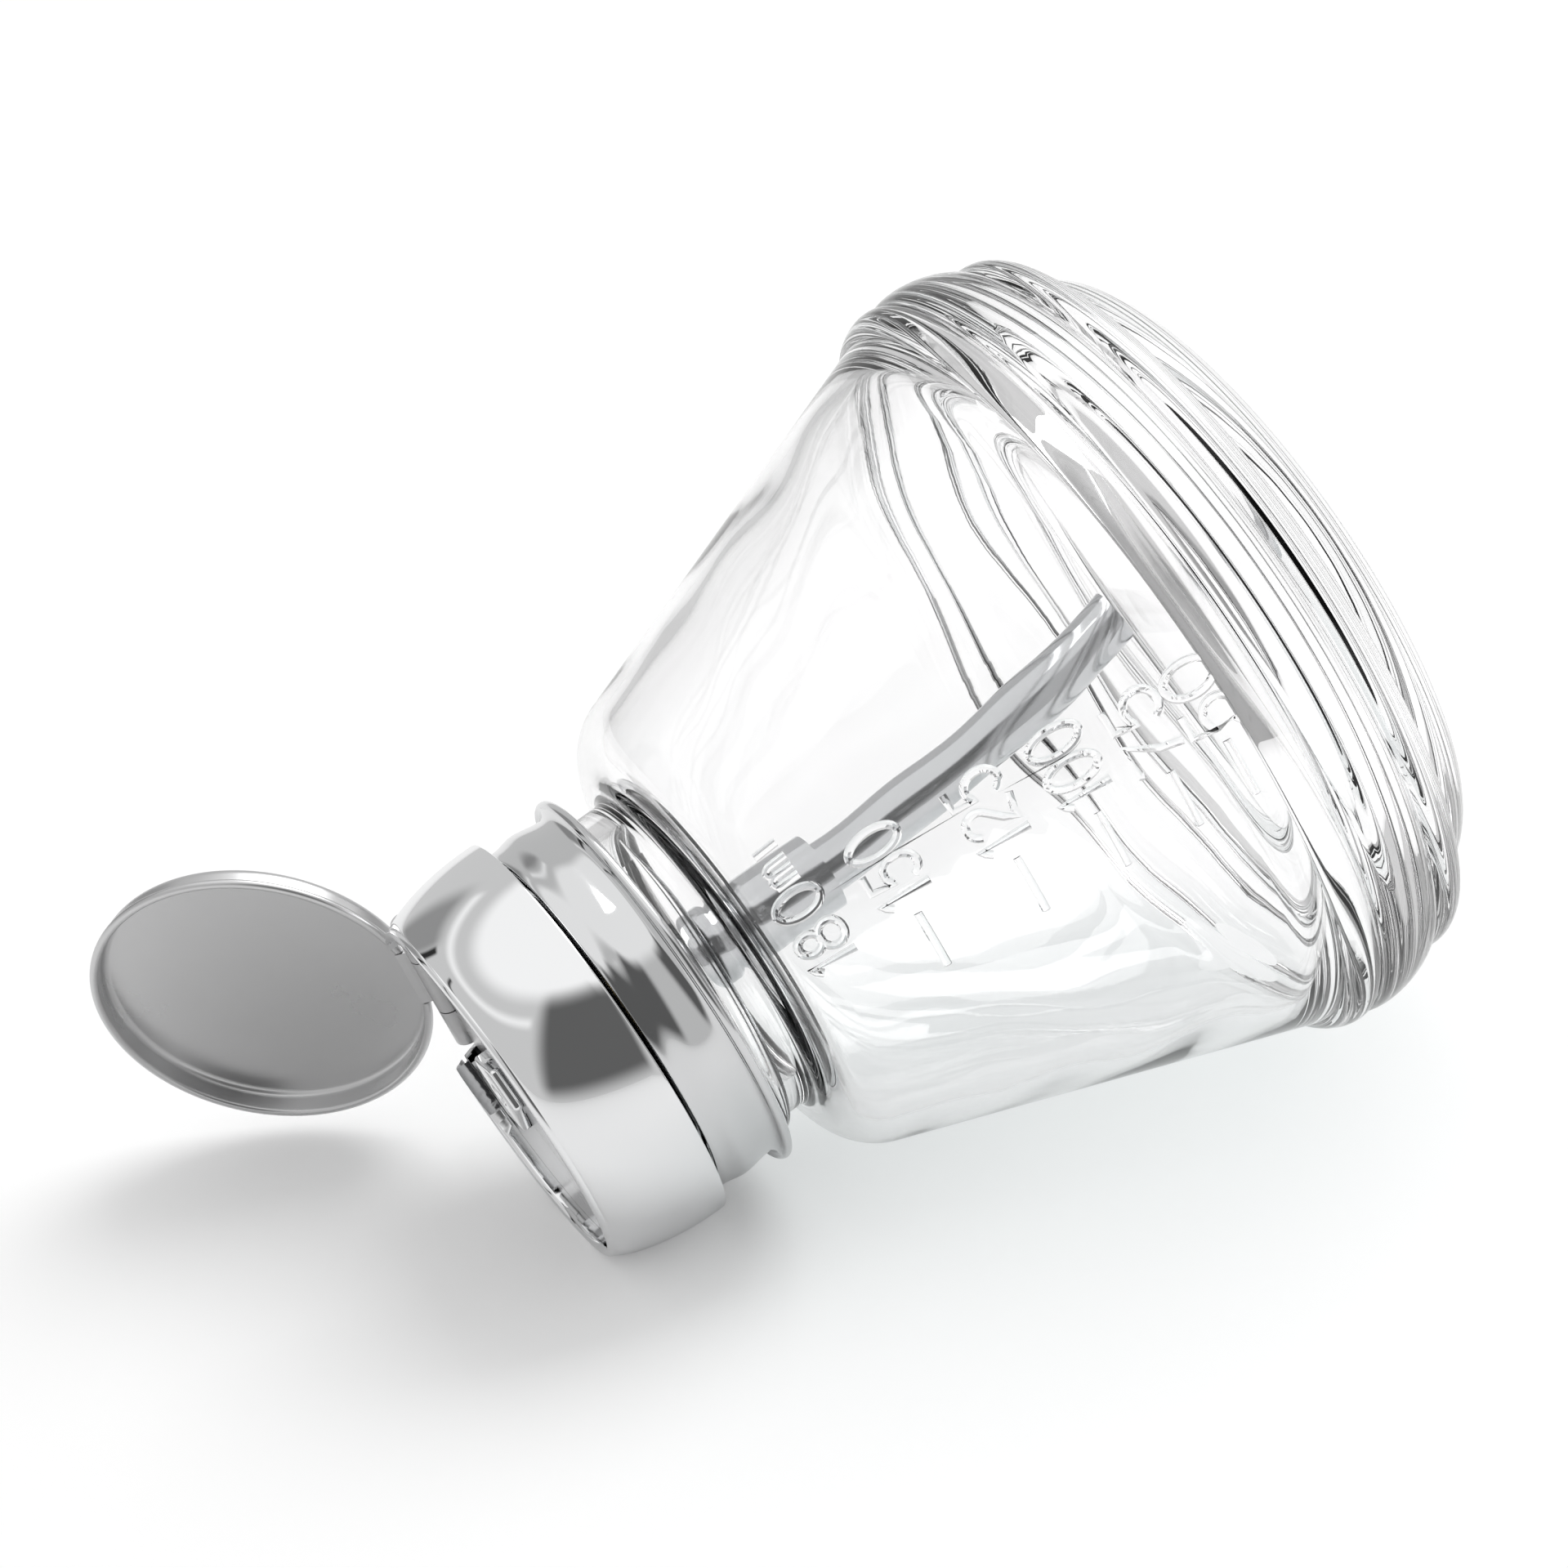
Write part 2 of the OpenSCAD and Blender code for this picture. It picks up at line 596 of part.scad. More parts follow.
module collar_profile() {
    in_r = collar_groove_r - collar_sheet;
    roll_r = collar_flange_r - collar_roll;
    sheet_top_z = collar_roll_z + collar_sheet / 2;
    groove_z = collar_roll_z + collar_roll + collar_groove_rise;
    bulge_z = groove_z + collar_bulge_rise;
    top_r = collar_groove_r;
    translate([roll_r, collar_roll_z]) circle(r = collar_roll, $fn = 32);
    difference() {
        polygon(concat(
            [[in_r, sheet_top_z - collar_sheet], [roll_r, sheet_top_z - collar_sheet], [roll_r, sheet_top_z]],
            [for (i = [1 : arc_steps]) let (t = 90 * i / arc_steps)
                [collar_groove_r + (roll_r - collar_groove_r) * (1 - sin(t)),
                 sheet_top_z + (groove_z - sheet_top_z) * (1 - cos(t))]],
            [for (i = [1 : arc_steps]) let (t = 180 * i / arc_steps)
                [collar_groove_r + (collar_bulge_r - collar_groove_r) * (1 - cos(t)) / 2,
                 groove_z + (bulge_z - groove_z) * i / arc_steps]],
            [for (i = [1 : arc_steps - 1]) let (t = 180 * i / arc_steps)
                [top_r + (collar_bulge_r - top_r) * (1 + cos(t)) / 2,
                 bulge_z + (collar_plate_z - collar_round - bulge_z) * i / arc_steps]],
            arc(top_r - collar_round, collar_plate_z - collar_round, collar_round, 0, 90),
            [[collar_hole_r, collar_plate_z], [collar_hole_r, flange_top_z], [in_r, flange_top_z]]));
        translate([0, collar_roll_z - slack])
        polygon(concat(
            [[0, 0], [in_r, 0]],
            arc(in_r - collar_round, flange_top_z - collar_roll_z + slack - collar_round, collar_round, 0, 90),
            [[0, flange_top_z - collar_roll_z + slack]]));
    }
}

module collar() {
    color(chrome)
    rotate_extrude($fn = round_fn)
    collar_profile();
}

// Side of the head between the skirt and the ridge, from angle a to angle b, set in by the sheet or not
function head_side(inset, a, b) =
    [for (i = [0 : arc_steps])
        let (t = a + (b - a) * i / arc_steps)
        [ridge_out_r - inset + (head_r - ridge_out_r) * pow(cos(t), head_bow), head_side_z + head_side_h * sin(t)]];

module head_profile() {
    polygon(concat(
        [[head_r, head_low_z]],
        head_side(0, 0, 90),
        arc(ridge_mid_r, ridge_round_z, ridge_half, 0, 180),
        [[ridge_in_r, hem_low_z]],
        head_side(head_sheet, hem_angle, 0),
        [[head_r - head_sheet, head_low_z]]));
}

// Room for the knuckles and the strap of the lid
module hinge_slot() {
    translate([-hinge_slot_w / 2, hinge_tab_y, dish_under_z])
    cube([hinge_slot_w, head_r, ridge_z - dish_under_z + slack]);
    translate([-hinge_slot_w / 2, hinge_y - knuckle_r - 2 * pass_gap, hinge_z - slot_drop])
    cube([hinge_slot_w, head_r, ridge_z]);
}

// Room in the ridge beside the slot, along the line that the rim of the lid swings through
module lid_relief() {
    first = asin(hinge_w / 2 / lid_r);
    reach = pow(lid_rim_rise + lid_roll, 2) - pow(ridge_z - hinge_z, 2);
    line = [for (i = [0 : arc_steps])
        let (t = first + (relief_end - first) * i / arc_steps)
        [lid_r * sin(t), hinge_y - sqrt(pow(hinge_y - lid_r * cos(t), 2) + reach) + relief_gap]];
    for (side = [0, 1])
        mirror([side, 0, 0])
        translate([0, 0, hem_low_z - slack])
        linear_extrude(height = ridge_z - hem_low_z + 2 * slack)
        polygon(concat(line, [[line[arc_steps].x, 0], [line[0].x, 0]]));
}

module head_shell() {
    color(chrome)
    difference() {
        rotate_extrude($fn = round_fn) head_profile();
        hinge_slot();
        lid_relief();
    }
}

// The ring lines the dish under the hem and carries the plate on its ledge
module dish_ring() {
    ring_low_z = dish_under_z - head_sheet;
    ring_top_z = hem_low_z - face_gap;
    ring_out_r = ridge_in_r + head_sheet;
    color(chrome)
    difference() {
        rotate_extrude($fn = round_fn)
        polygon([[ledge_r, ring_low_z], [ring_out_r, ring_low_z], [ring_out_r, ring_top_z],
                 [ridge_in_r, ring_top_z], [ridge_in_r, dish_under_z], [ledge_r, dish_under_z]]);
        hinge_slot();
    }
}

module knuckle(x0, x1) {
    translate([x0, hinge_y, hinge_z])
    rotate([0, 90, 0])
    cylinder(h = x1 - x0, r = knuckle_r, $fn = fine_fn);
}

module dish_plate() {
    color(satin)
    difference() {
        union() {
            translate([0, 0, dish_under_z]) cylinder(h = dish_t, r = ridge_in_r - face_gap, $fn = round_fn);
            for (x = [-hinge_w / 2, strap_w / 2 + knuckle_gap]) {
                knuckle(x, x + knuckle_w);
                translate([x, hinge_tab_y, dish_under_z])
                cube([knuckle_w, hinge_y - hinge_tab_y - pin_r, dish_t]);
            }
        }
        translate([0, 0, dish_under_z - slack])
        cylinder(h = dish_t + 2 * slack, r = hub_bore_r, $fn = fine_fn);
        translate([-hinge_w, hinge_y, hinge_z])
        rotate([0, 90, 0])
        cylinder(h = 2 * hinge_w, r = pin_r + press_fit, $fn = fine_fn);
        translate([strap_w / 2 + knuckle_gap + rivet_inset, hinge_tab_y + rivet_inset / 2, dish_under_z - slack])
        cylinder(h = dish_t + 2 * slack, r = rivet_r, $fn = 24);
    }
}

module head_hub() {
    color(brass)
    difference() {
        translate([0, 0, hub_low_z]) cylinder(h = hub_len, r = hub_r, $fn = fine_fn);
        translate([0, 0, hub_low_z - slack])
        cylinder(h = hub_len + 2 * slack, r = stem_r + running_fit, $fn = fine_fn);
        translate([0, 0, hub_step_z]) cylinder(h = hub_len, r = hub_bore_r, $fn = fine_fn);
    }
}

module outlet_washer() {
    color(seal_colour)
    translate([0, 0, dish_z])
    difference() {
        cylinder(h = washer_t, r = washer_r, $fn = fine_fn);
        translate([0, 0, -slack]) cylinder(h = washer_t + 2 * slack, r = hub_bore_r, $fn = fine_fn);
    }
}

module outlet_fitting() {
    color(chrome)
    difference() {
        union() {
            rotate([0, 0, hex_dir + 30])
            translate([0, 0, hex_low_z])
            cylinder(h = hex_top_z - hex_low_z, r = hex_flats / sqrt(3), $fn = 6);
            translate([0, 0, shank_low_z])
            cylinder(h = hex_bore_z - shank_low_z, r = shank_r, $fn = fine_fn);
        }
        translate([0, 0, shank_low_z - slack])
        cylinder(h = hex_bore_z - shank_low_z + slack, r = shank_bore_r, $fn = fine_fn);
        translate([0, 0, shank_low_z])
        cylinder(h = hex_top_z, r = outlet_r, $fn = fine_fn);
    }
}

module outlet_ball() {
    color(chrome)
    translate([0, 0, outlet_ball_z])
    sphere(r = outlet_ball_r, $fn = fine_fn);
}

module hinge_pin() {
    color(steel)
    translate([-hinge_w / 2, hinge_y, hinge_z])
    rotate([0, 90, 0])
    cylinder(h = hinge_w, r = pin_r, $fn = fine_fn);
}

// Height of the crowned top of the lid above its rim, at a distance r from the middle
function crown_z(r) = lid_depth + lid_crown * (1 - pow(r / (lid_r - lid_roll - lid_round), 2));

// The lid is drawn closed, with its rim at height 0, and then swung open about the pin
module lid_cap() {
    wall_r = lid_r - lid_roll;
    flat_r = wall_r - lid_round;
    edge_z = lid_depth + lid_sheet - lid_round;
    rotate_extrude($fn = round_fn)
    union() {
        translate([wall_r, lid_roll]) circle(r = lid_roll, $fn = 24);
        polygon(concat(
            [[wall_r - lid_sheet, lid_roll], [wall_r, lid_roll]],
            arc(flat_r, edge_z, lid_round, 0, 90),
            [for (i = [crown_steps - 1 : -1 : 0]) let (r = flat_r * i / crown_steps) [r, crown_z(r) + lid_sheet]],
            [for (i = [0 : crown_steps - 1]) let (r = flat_r * i / crown_steps) [r, crown_z(r)]],
            arc(flat_r, edge_z, lid_round - lid_sheet, 90, 0)));
    }
}

module lid() {
    rim_z = hinge_z + lid_rim_rise;
    strap_y = lid_r - 2 * lid_roll - lid_sheet;
    color(chrome)
    translate([0, hinge_y, hinge_z])
    rotate([-lid_open, 0, 0])
    translate([0, -hinge_y, -hinge_z])
    difference() {
        union() {
            difference() {
                translate([0, 0, rim_z]) lid_cap();
                translate([-strap_w / 2 - knuckle_gap, lid_r / 2, rim_z - slack])
                cube([strap_w + 2 * knuckle_gap, lid_r, slack + 2 * lid_roll]);
            }
            translate([-strap_w / 2, strap_y, rim_z])
            cube([strap_w, hinge_y - pin_r - strap_y, lid_sheet]);
            translate([-strap_w / 2, lid_r - lid_roll - lid_sheet, rim_z])
            cube([strap_w, lid_sheet, 3 * lid_roll]);
            knuckle(-strap_w / 2, strap_w / 2);
        }
        translate([-strap_w, hinge_y, hinge_z])
        rotate([0, 90, 0])
        cylinder(h = 2 * strap_w, r = pin_r + running_fit, $fn = fine_fn);
    }
}

glass_bottle();
neck_gasket();
pump_barrel();
guide_bush();
stem_seal();
dip_tube();
inlet_seat();
inlet_ball();
ball_cage();
return_spring();
piston();
piston_ring();
plunger_stem();
head_shell();
dish_ring();
dish_plate();
head_hub();
outlet_washer();
outlet_fitting();
outlet_ball();
hinge_pin();
lid();
collar();
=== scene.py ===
"""Looks of a press-down pump bottle with a hinged lid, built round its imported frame.

Sizes are in millimetres and angles in degrees where a docstring gives no other unit.
"""

import logging
import math
from dataclasses import dataclass
from enum import Enum

import bmesh
import bpy
from mathutils import Matrix, Vector


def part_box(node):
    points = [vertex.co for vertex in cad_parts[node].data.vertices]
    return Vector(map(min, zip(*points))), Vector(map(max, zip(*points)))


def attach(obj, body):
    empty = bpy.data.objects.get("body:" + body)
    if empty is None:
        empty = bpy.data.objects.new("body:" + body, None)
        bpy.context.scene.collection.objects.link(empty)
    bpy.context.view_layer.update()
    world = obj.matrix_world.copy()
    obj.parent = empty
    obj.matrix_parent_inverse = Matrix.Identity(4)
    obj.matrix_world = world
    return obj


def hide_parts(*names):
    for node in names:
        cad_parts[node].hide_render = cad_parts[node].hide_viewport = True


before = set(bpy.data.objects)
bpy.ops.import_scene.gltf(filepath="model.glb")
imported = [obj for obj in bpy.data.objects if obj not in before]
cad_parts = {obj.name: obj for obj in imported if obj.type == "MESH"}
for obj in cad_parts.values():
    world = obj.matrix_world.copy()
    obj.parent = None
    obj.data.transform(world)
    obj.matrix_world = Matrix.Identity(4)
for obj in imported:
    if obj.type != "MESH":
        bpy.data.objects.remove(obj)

LOG = logging.getLogger("pump_bottle")
MM = 0.001
ON_AXIS = 1e-6
HALF_TURN = 180.0
MERGE_M = 1e-7
Outline = list[tuple[float, float]]
Colour = tuple[float, float, float]
Triple = tuple[float, float, float]


class Slot(Enum):
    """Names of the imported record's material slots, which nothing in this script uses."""

    GLASS = "clear_glass"
    CHROME = "polished_chrome"
    SATIN = "satin_steel"


class Body(Enum):
    """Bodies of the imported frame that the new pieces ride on."""

    BOTTLE = "bottle"
    COLLAR = "collar"
    HEAD = "head"
    LID = "lid"


# Outlines and meshes


def arc(r: float, z: float, radius: float, start: float, end: float, steps: int = 14) -> Outline:
    """Points along an arc of an outline.

    Args:
        r: Distance of the arc's centre from the axis, in mm.
        z: Height of the arc's centre, in mm.
        radius: Radius of the arc, in mm.
        start: Angle of the first point, in degrees.
        end: Angle of the last point, in degrees.
        steps: Number of chords.

    Returns:
        The points as (radius, height) pairs.
    """
    turns = [math.radians(start + (end - start) * i / steps) for i in range(steps + 1)]
    return [(r + radius * math.cos(t), z + radius * math.sin(t)) for t in turns]


def bead(z0: float, z1: float, r0: float, r1: float, swell: float, steps: int = 22) -> Outline:
    """Points along a bead that swells between two heights.

    Args:
        z0: Lower height, in mm.
        z1: Upper height, in mm.
        r0: Radius at the lower height, in mm.
        r1: Radius at the upper height, in mm.
        swell: How far the bead swells out, in mm.
        steps: Number of chords.

    Returns:
        The inner points of the bead as (radius, height) pairs.
    """
    points = []
    for i in range(1, steps):
        turn = math.pi * i / steps
        share = (1 - math.cos(turn)) / 2
        points.append((r0 + (r1 - r0) * share + swell * math.sin(turn), z0 + (z1 - z0) * share))
    return points


def ease(start: float, end: float, share: float) -> float:
    """Value between two others that leaves the first and reaches the last with no slope.

    Args:
        start: The first value.
        end: The last value.
        share: How far along the way, from 0 to 1.

    Returns:
        The value there.
    """
    return start + (end - start) * (1 - math.cos(math.pi * share)) / 2


def new_object(name: str, mesh: bpy.types.Mesh) -> bpy.types.Object:
    """Link a mesh to the scene as an object at the origin.

    Args:
        name: Name of the object.
        mesh: Its mesh.

    Returns:
        The new object.
    """
    piece = bpy.data.objects.new(name, mesh)
    bpy.context.scene.collection.objects.link(piece)
    return piece


def shade(piece: bpy.types.Object, sharp: float = 35.0) -> None:
    """Shade a piece smooth, with edges sharper than an angle kept sharp.

    Args:
        piece: The mesh object.
        sharp: The angle, in degrees.
    """
    piece.data.polygons.foreach_set("use_smooth", [True] * len(piece.data.polygons))
    piece.data.set_sharp_from_angle(angle=math.radians(sharp))


def turned(name: str, outline: Outline, steps: int = 192, closed: bool = False) -> bpy.types.Object:
    """Piece made by spinning an outline round the Z axis.

    Args:
        name: Name of the piece.
        outline: Points as (radius, height) pairs, in mm.
        steps: Number of segments round the axis.
        closed: Whether the last point joins the first.

    Returns:
        The new object, with its faces outwards.
    """
    mesh = bpy.data.meshes.new(name)
    shape = bmesh.new()
    turns = [2 * math.pi * i / steps for i in range(steps)]
    rings = []
    for r, z in outline:
        if r < ON_AXIS:
            rings.append([shape.verts.new((0, 0, z * MM))] * steps)
            continue
        rings.append([shape.verts.new((r * math.cos(t) * MM, r * math.sin(t) * MM, z * MM)) for t in turns])
    following = rings[1:] + ([rings[0]] if closed else [])
    for low, high in zip(rings, following):
        for i in range(steps):
            j = (i + 1) % steps
            corners = list(dict.fromkeys((low[i], low[j], high[j], high[i])))
            if len(corners) > 2:
                shape.faces.new(corners)
    bmesh.ops.recalc_face_normals(shape, faces=shape.faces)
    shape.to_mesh(mesh)
    shape.free()
    return new_object(name, mesh)


def block(name: str, low: Triple, high: Triple) -> bpy.types.Object:
    """Box between two corners.

    Args:
        name: Name of the box.
        low: Its corner with the least coordinates, in mm.
        high: Its corner with the greatest coordinates, in mm.

    Returns:
        The new object.
    """
    mesh = bpy.data.meshes.new(name)
    shape = bmesh.new()
    bmesh.ops.create_cube(shape, size=1.0)
    size = Vector(high) - Vector(low)
    middle = (Vector(high) + Vector(low)) / 2
    place = Matrix.Translation(middle * MM) @ Matrix.Diagonal((*(size * MM), 1))
    bmesh.ops.transform(shape, matrix=place, verts=shape.verts)
    shape.to_mesh(mesh)
    shape.free()
    return new_object(name, mesh)


def drawn(name: str, outline: list[Triple], step: Triple) -> bpy.types.Object:
    """Closed solid drawn out from a flat outline.

    Args:
        name: Name of the piece.
        outline: Corners of the flat outline in space, in mm.
        step: Way from the first end to the other, in mm.

    Returns:
        The new object, with its faces outwards.
    """
    mesh = bpy.data.meshes.new(name)
    shape = bmesh.new()
    near = [shape.verts.new(Vector(p) * MM) for p in outline]
    far = [shape.verts.new((Vector(p) + Vector(step)) * MM) for p in outline]
    shape.faces.new(near)
    shape.faces.new(far)
    for i in range(len(outline)):
        j = (i + 1) % len(outline)
        shape.faces.new((near[i], near[j], far[j], far[i]))
    bmesh.ops.recalc_face_normals(shape, faces=shape.faces)
    shape.to_mesh(mesh)
    shape.free()
    return new_object(name, mesh)


def apply_modifiers(piece: bpy.types.Object) -> None:
    """Turn a piece's modifiers into its plain mesh.

    Args:
        piece: The object.
    """
    graph = bpy.context.evaluated_depsgraph_get()
    graph.update()
    mesh = bpy.data.meshes.new_from_object(piece.evaluated_get(graph))
    mesh.name = piece.name
    piece.modifiers.clear()
    piece.data = mesh


def combine(piece: bpy.types.Object, tools: list[bpy.types.Object], how: str) -> None:
    """Join tools to a piece or cut them from it, and delete them.

    Args:
        piece: The object that changes.
        tools: The closed meshes to join or cut.
        how: UNION or DIFFERENCE.
    """
    for tool in tools:
        step = piece.modifiers.new("combine", "BOOLEAN")
        step.operation = how
        step.solver = "MANIFOLD"
        step.object = tool
        apply_modifiers(piece)
        bpy.data.objects.remove(tool)


def bevelled(piece: bpy.types.Object, width: float, segments: int = 3, limit: float = 40.0) -> None:
    """Round the edges of a piece.

    Args:
        piece: The mesh object.
        width: Width of the rounding, in mm.
        segments: Number of faces across it.
        limit: Least angle of an edge that is rounded, in degrees.
    """
    step = piece.modifiers.new("edges", "BEVEL")
    step.width = width * MM
    step.segments = segments
    step.limit_method = "ANGLE"
    step.angle_limit = math.radians(limit)
    apply_modifiers(piece)


def fit(
    piece: bpy.types.Object,
    body: Body,
    material: bpy.types.Material,
    nodes: tuple[str, ...] = (),
) -> None:
    """Give a piece its material in its only slot and its body, and let it stand for its CAD nodes.

    Args:
        piece: The finished object.
        body: The body that it rides on.
        material: Its material.
        nodes: The CAD nodes that it replaces.
    """
    piece.data.materials.clear()
    piece.data.materials.append(material)
    piece.data.polygons.foreach_set("material_index", [0] * len(piece.data.polygons))
    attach(piece, body.value)
    if nodes:
        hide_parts(*nodes)
    LOG.info("%s: %d faces", piece.name, len(piece.data.polygons))


def dress(node: str, material: bpy.types.Material) -> None:
    """Give a CAD node its material through its object's slots.

    Args:
        node: Name of the node, which keeps its CAD shape.
        material: Its material.
    """
    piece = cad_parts[node]
    for place in piece.material_slots:
        place.material = material
    LOG.info("%s: dressed in %s", node, material.name)


# Node trees


def add(
    tree: bpy.types.NodeTree,
    kind: str,
    inputs: dict[str | int, object] | None = None,
    **settings: object,
) -> bpy.types.Node:
    """Add a node to a tree, with its inputs set or linked.

    Args:
        tree: The tree that the node goes into.
        kind: Type of the node.
        inputs: Value or output socket for each input, by name or number.
        settings: Properties of the node.

    Returns:
        The new node.
    """
    made = tree.nodes.new(kind)
    for name, value in settings.items():
        setattr(made, name, value)
    for name, value in (inputs or {}).items():
        if isinstance(value, bpy.types.NodeSocket):
            tree.links.new(value, made.inputs[name])
        else:
            made.inputs[name].default_value = value
    return made


def grouped(
    name: str,
    kind: str,
    inputs: dict[str, tuple[str, object]],
    outputs: dict[str, str],
) -> tuple[bpy.types.NodeTree, bpy.types.Node, bpy.types.Node]:
    """Start a node group with named sockets.

    Args:
        name: Name of the group.
        kind: ShaderNodeTree or GeometryNodeTree.
        inputs: Socket type and default value for each input.
        outputs: Socket type for each output.

    Returns:
        The tree, its input node and its output node.
    """
    tree = bpy.data.node_groups.new(name, kind)
    for label, (socket, value) in inputs.items():
        made = tree.interface.new_socket(label, in_out="INPUT", socket_type=socket)
        if value is not None:
            made.default_value = value
    for label, socket in outputs.items():
        tree.interface.new_socket(label, in_out="OUTPUT", socket_type=socket)
    return tree, tree.nodes.new("NodeGroupInput"), tree.nodes.new("NodeGroupOutput")


def smudge_group() -> bpy.types.NodeTree:
    """Group whose value wanders between two levels, as the gloss of wiped metal does.

    Returns:
        The group.
    """
    tree, given, result = grouped(
        "smudge",
        "ShaderNodeTree",
        {
            "Scale": ("NodeSocketFloat", 60.0),
            "Low": ("NodeSocketFloat", 0.05),
            "High": ("NodeSocketFloat", 0.1),
        },
        {"Value": "NodeSocketFloat"},
    )
    place = add(tree, "ShaderNodeTexCoord")
    noise = add(
        tree,
        "ShaderNodeTexNoise",
        {"Vector": place.outputs["Object"], "Scale": given.outputs["Scale"], "Detail": 4.0,
         "Roughness": 0.55},
    )
    spread = add(
        tree,
        "ShaderNodeMapRange",
        {"Value": noise.outputs["Fac"], "From Min": 0.35, "From Max": 0.65,
         "To Min": given.outputs["Low"], "To Max": given.outputs["High"]},
    )
    tree.links.new(spread.outputs["Result"], result.inputs["Value"])
    return tree


def brush_group() -> bpy.types.NodeTree:
    """Group for the fine lines that brushing or turning leaves in metal.

    Returns:
        The group.
    """
    tree, given, result = grouped(
        "brush",
        "ShaderNodeTree",
        {
            "Scale": ("NodeSocketFloat", 900.0),
            "Stretch": ("NodeSocketVector", (1.0, 1.0, 0.05)),
        },
        {"Height": "NodeSocketFloat"},
    )
    place = add(tree, "ShaderNodeTexCoord")
    stretched = add(
        tree,
        "ShaderNodeVectorMath",
        {0: place.outputs["Object"], 1: given.outputs["Stretch"]},
        operation="MULTIPLY",
    )
    noise = add(
        tree,
        "ShaderNodeTexNoise",
        {"Vector": stretched.outputs["Vector"], "Scale": given.outputs["Scale"], "Detail": 3.0},
    )
    tree.links.new(noise.outputs["Fac"], result.inputs["Height"])
    return tree


def tone_group() -> bpy.types.NodeTree:
    """Group that mixes two near tones in soft patches.

    Returns:
        The group.
    """
    tree, given, result = grouped(
        "tone",
        "ShaderNodeTree",
        {
            "Scale": ("NodeSocketFloat", 40.0),
            "First": ("NodeSocketColor", (0.8, 0.8, 0.8, 1.0)),
            "Second": ("NodeSocketColor", (0.7, 0.7, 0.7, 1.0)),
        },
        {"Color": "NodeSocketColor"},
    )
    place = add(tree, "ShaderNodeTexCoord")
    noise = add(
        tree,
        "ShaderNodeTexNoise",
        {"Vector": place.outputs["Object"], "Scale": given.outputs["Scale"], "Detail": 3.0},
    )
    mixed = add(
        tree,
        "ShaderNodeMix",
        {"Factor": noise.outputs["Fac"], "A": given.outputs["First"], "B": given.outputs["Second"]},
        data_type="RGBA",
    )
    tree.links.new(mixed.outputs["Result"], result.inputs["Color"])
    return tree


@dataclass(frozen=True)
class Effects:
    """Shader groups that the finishes share."""

    smudge: bpy.types.NodeTree
    brush: bpy.types.NodeTree
    tone: bpy.types.NodeTree

    @staticmethod
    def build() -> "Effects":
        """Build the three groups once."""
        return Effects(smudge_group(), brush_group(), tone_group())


# Finishes


@dataclass(frozen=True)
class Metal:
    """Bare or plated metal, with soft tones, wiped patches and brushed lines."""

    name: str
    light: Colour
    dark: Colour
    smooth: float
    rough: float
    patch: float = 60.0
    wipe: float = 102.0
    line: float = 900.0
    stretch: Triple = (1.0, 1.0, 0.05)
    depth: float = 0.0

    def build(self, effects: Effects) -> bpy.types.Material:
        """Build the material.

        Args:
            effects: The shared shader groups.

        Returns:
            The material.
        """
        material = bpy.data.materials.new(self.name)
        material.use_nodes = True
        tree = material.node_tree
        shader = tree.nodes["Principled BSDF"]
        shader.inputs["Metallic"].default_value = 1.0
        tone = add(tree, "ShaderNodeGroup", {}, node_tree=effects.tone)
        tone.inputs["First"].default_value = (*self.light, 1.0)
        tone.inputs["Second"].default_value = (*self.dark, 1.0)
        tone.inputs["Scale"].default_value = self.patch
        tree.links.new(tone.outputs["Color"], shader.inputs["Base Color"])
        smudge = add(tree, "ShaderNodeGroup", {}, node_tree=effects.smudge)
        smudge.inputs["Scale"].default_value = self.wipe
        smudge.inputs["Low"].default_value = self.smooth
        smudge.inputs["High"].default_value = self.rough
        tree.links.new(smudge.outputs["Value"], shader.inputs["Roughness"])
        if self.depth > 0:
            brush = add(tree, "ShaderNodeGroup", {}, node_tree=effects.brush)
            brush.inputs["Scale"].default_value = self.line
            brush.inputs["Stretch"].default_value = self.stretch
            bump = add(
                tree,
                "ShaderNodeBump",
                {"Height": brush.outputs["Height"], "Strength": 1.0, "Distance": self.depth * MM},
            )
            tree.links.new(bump.outputs["Normal"], shader.inputs["Normal"])
        return material


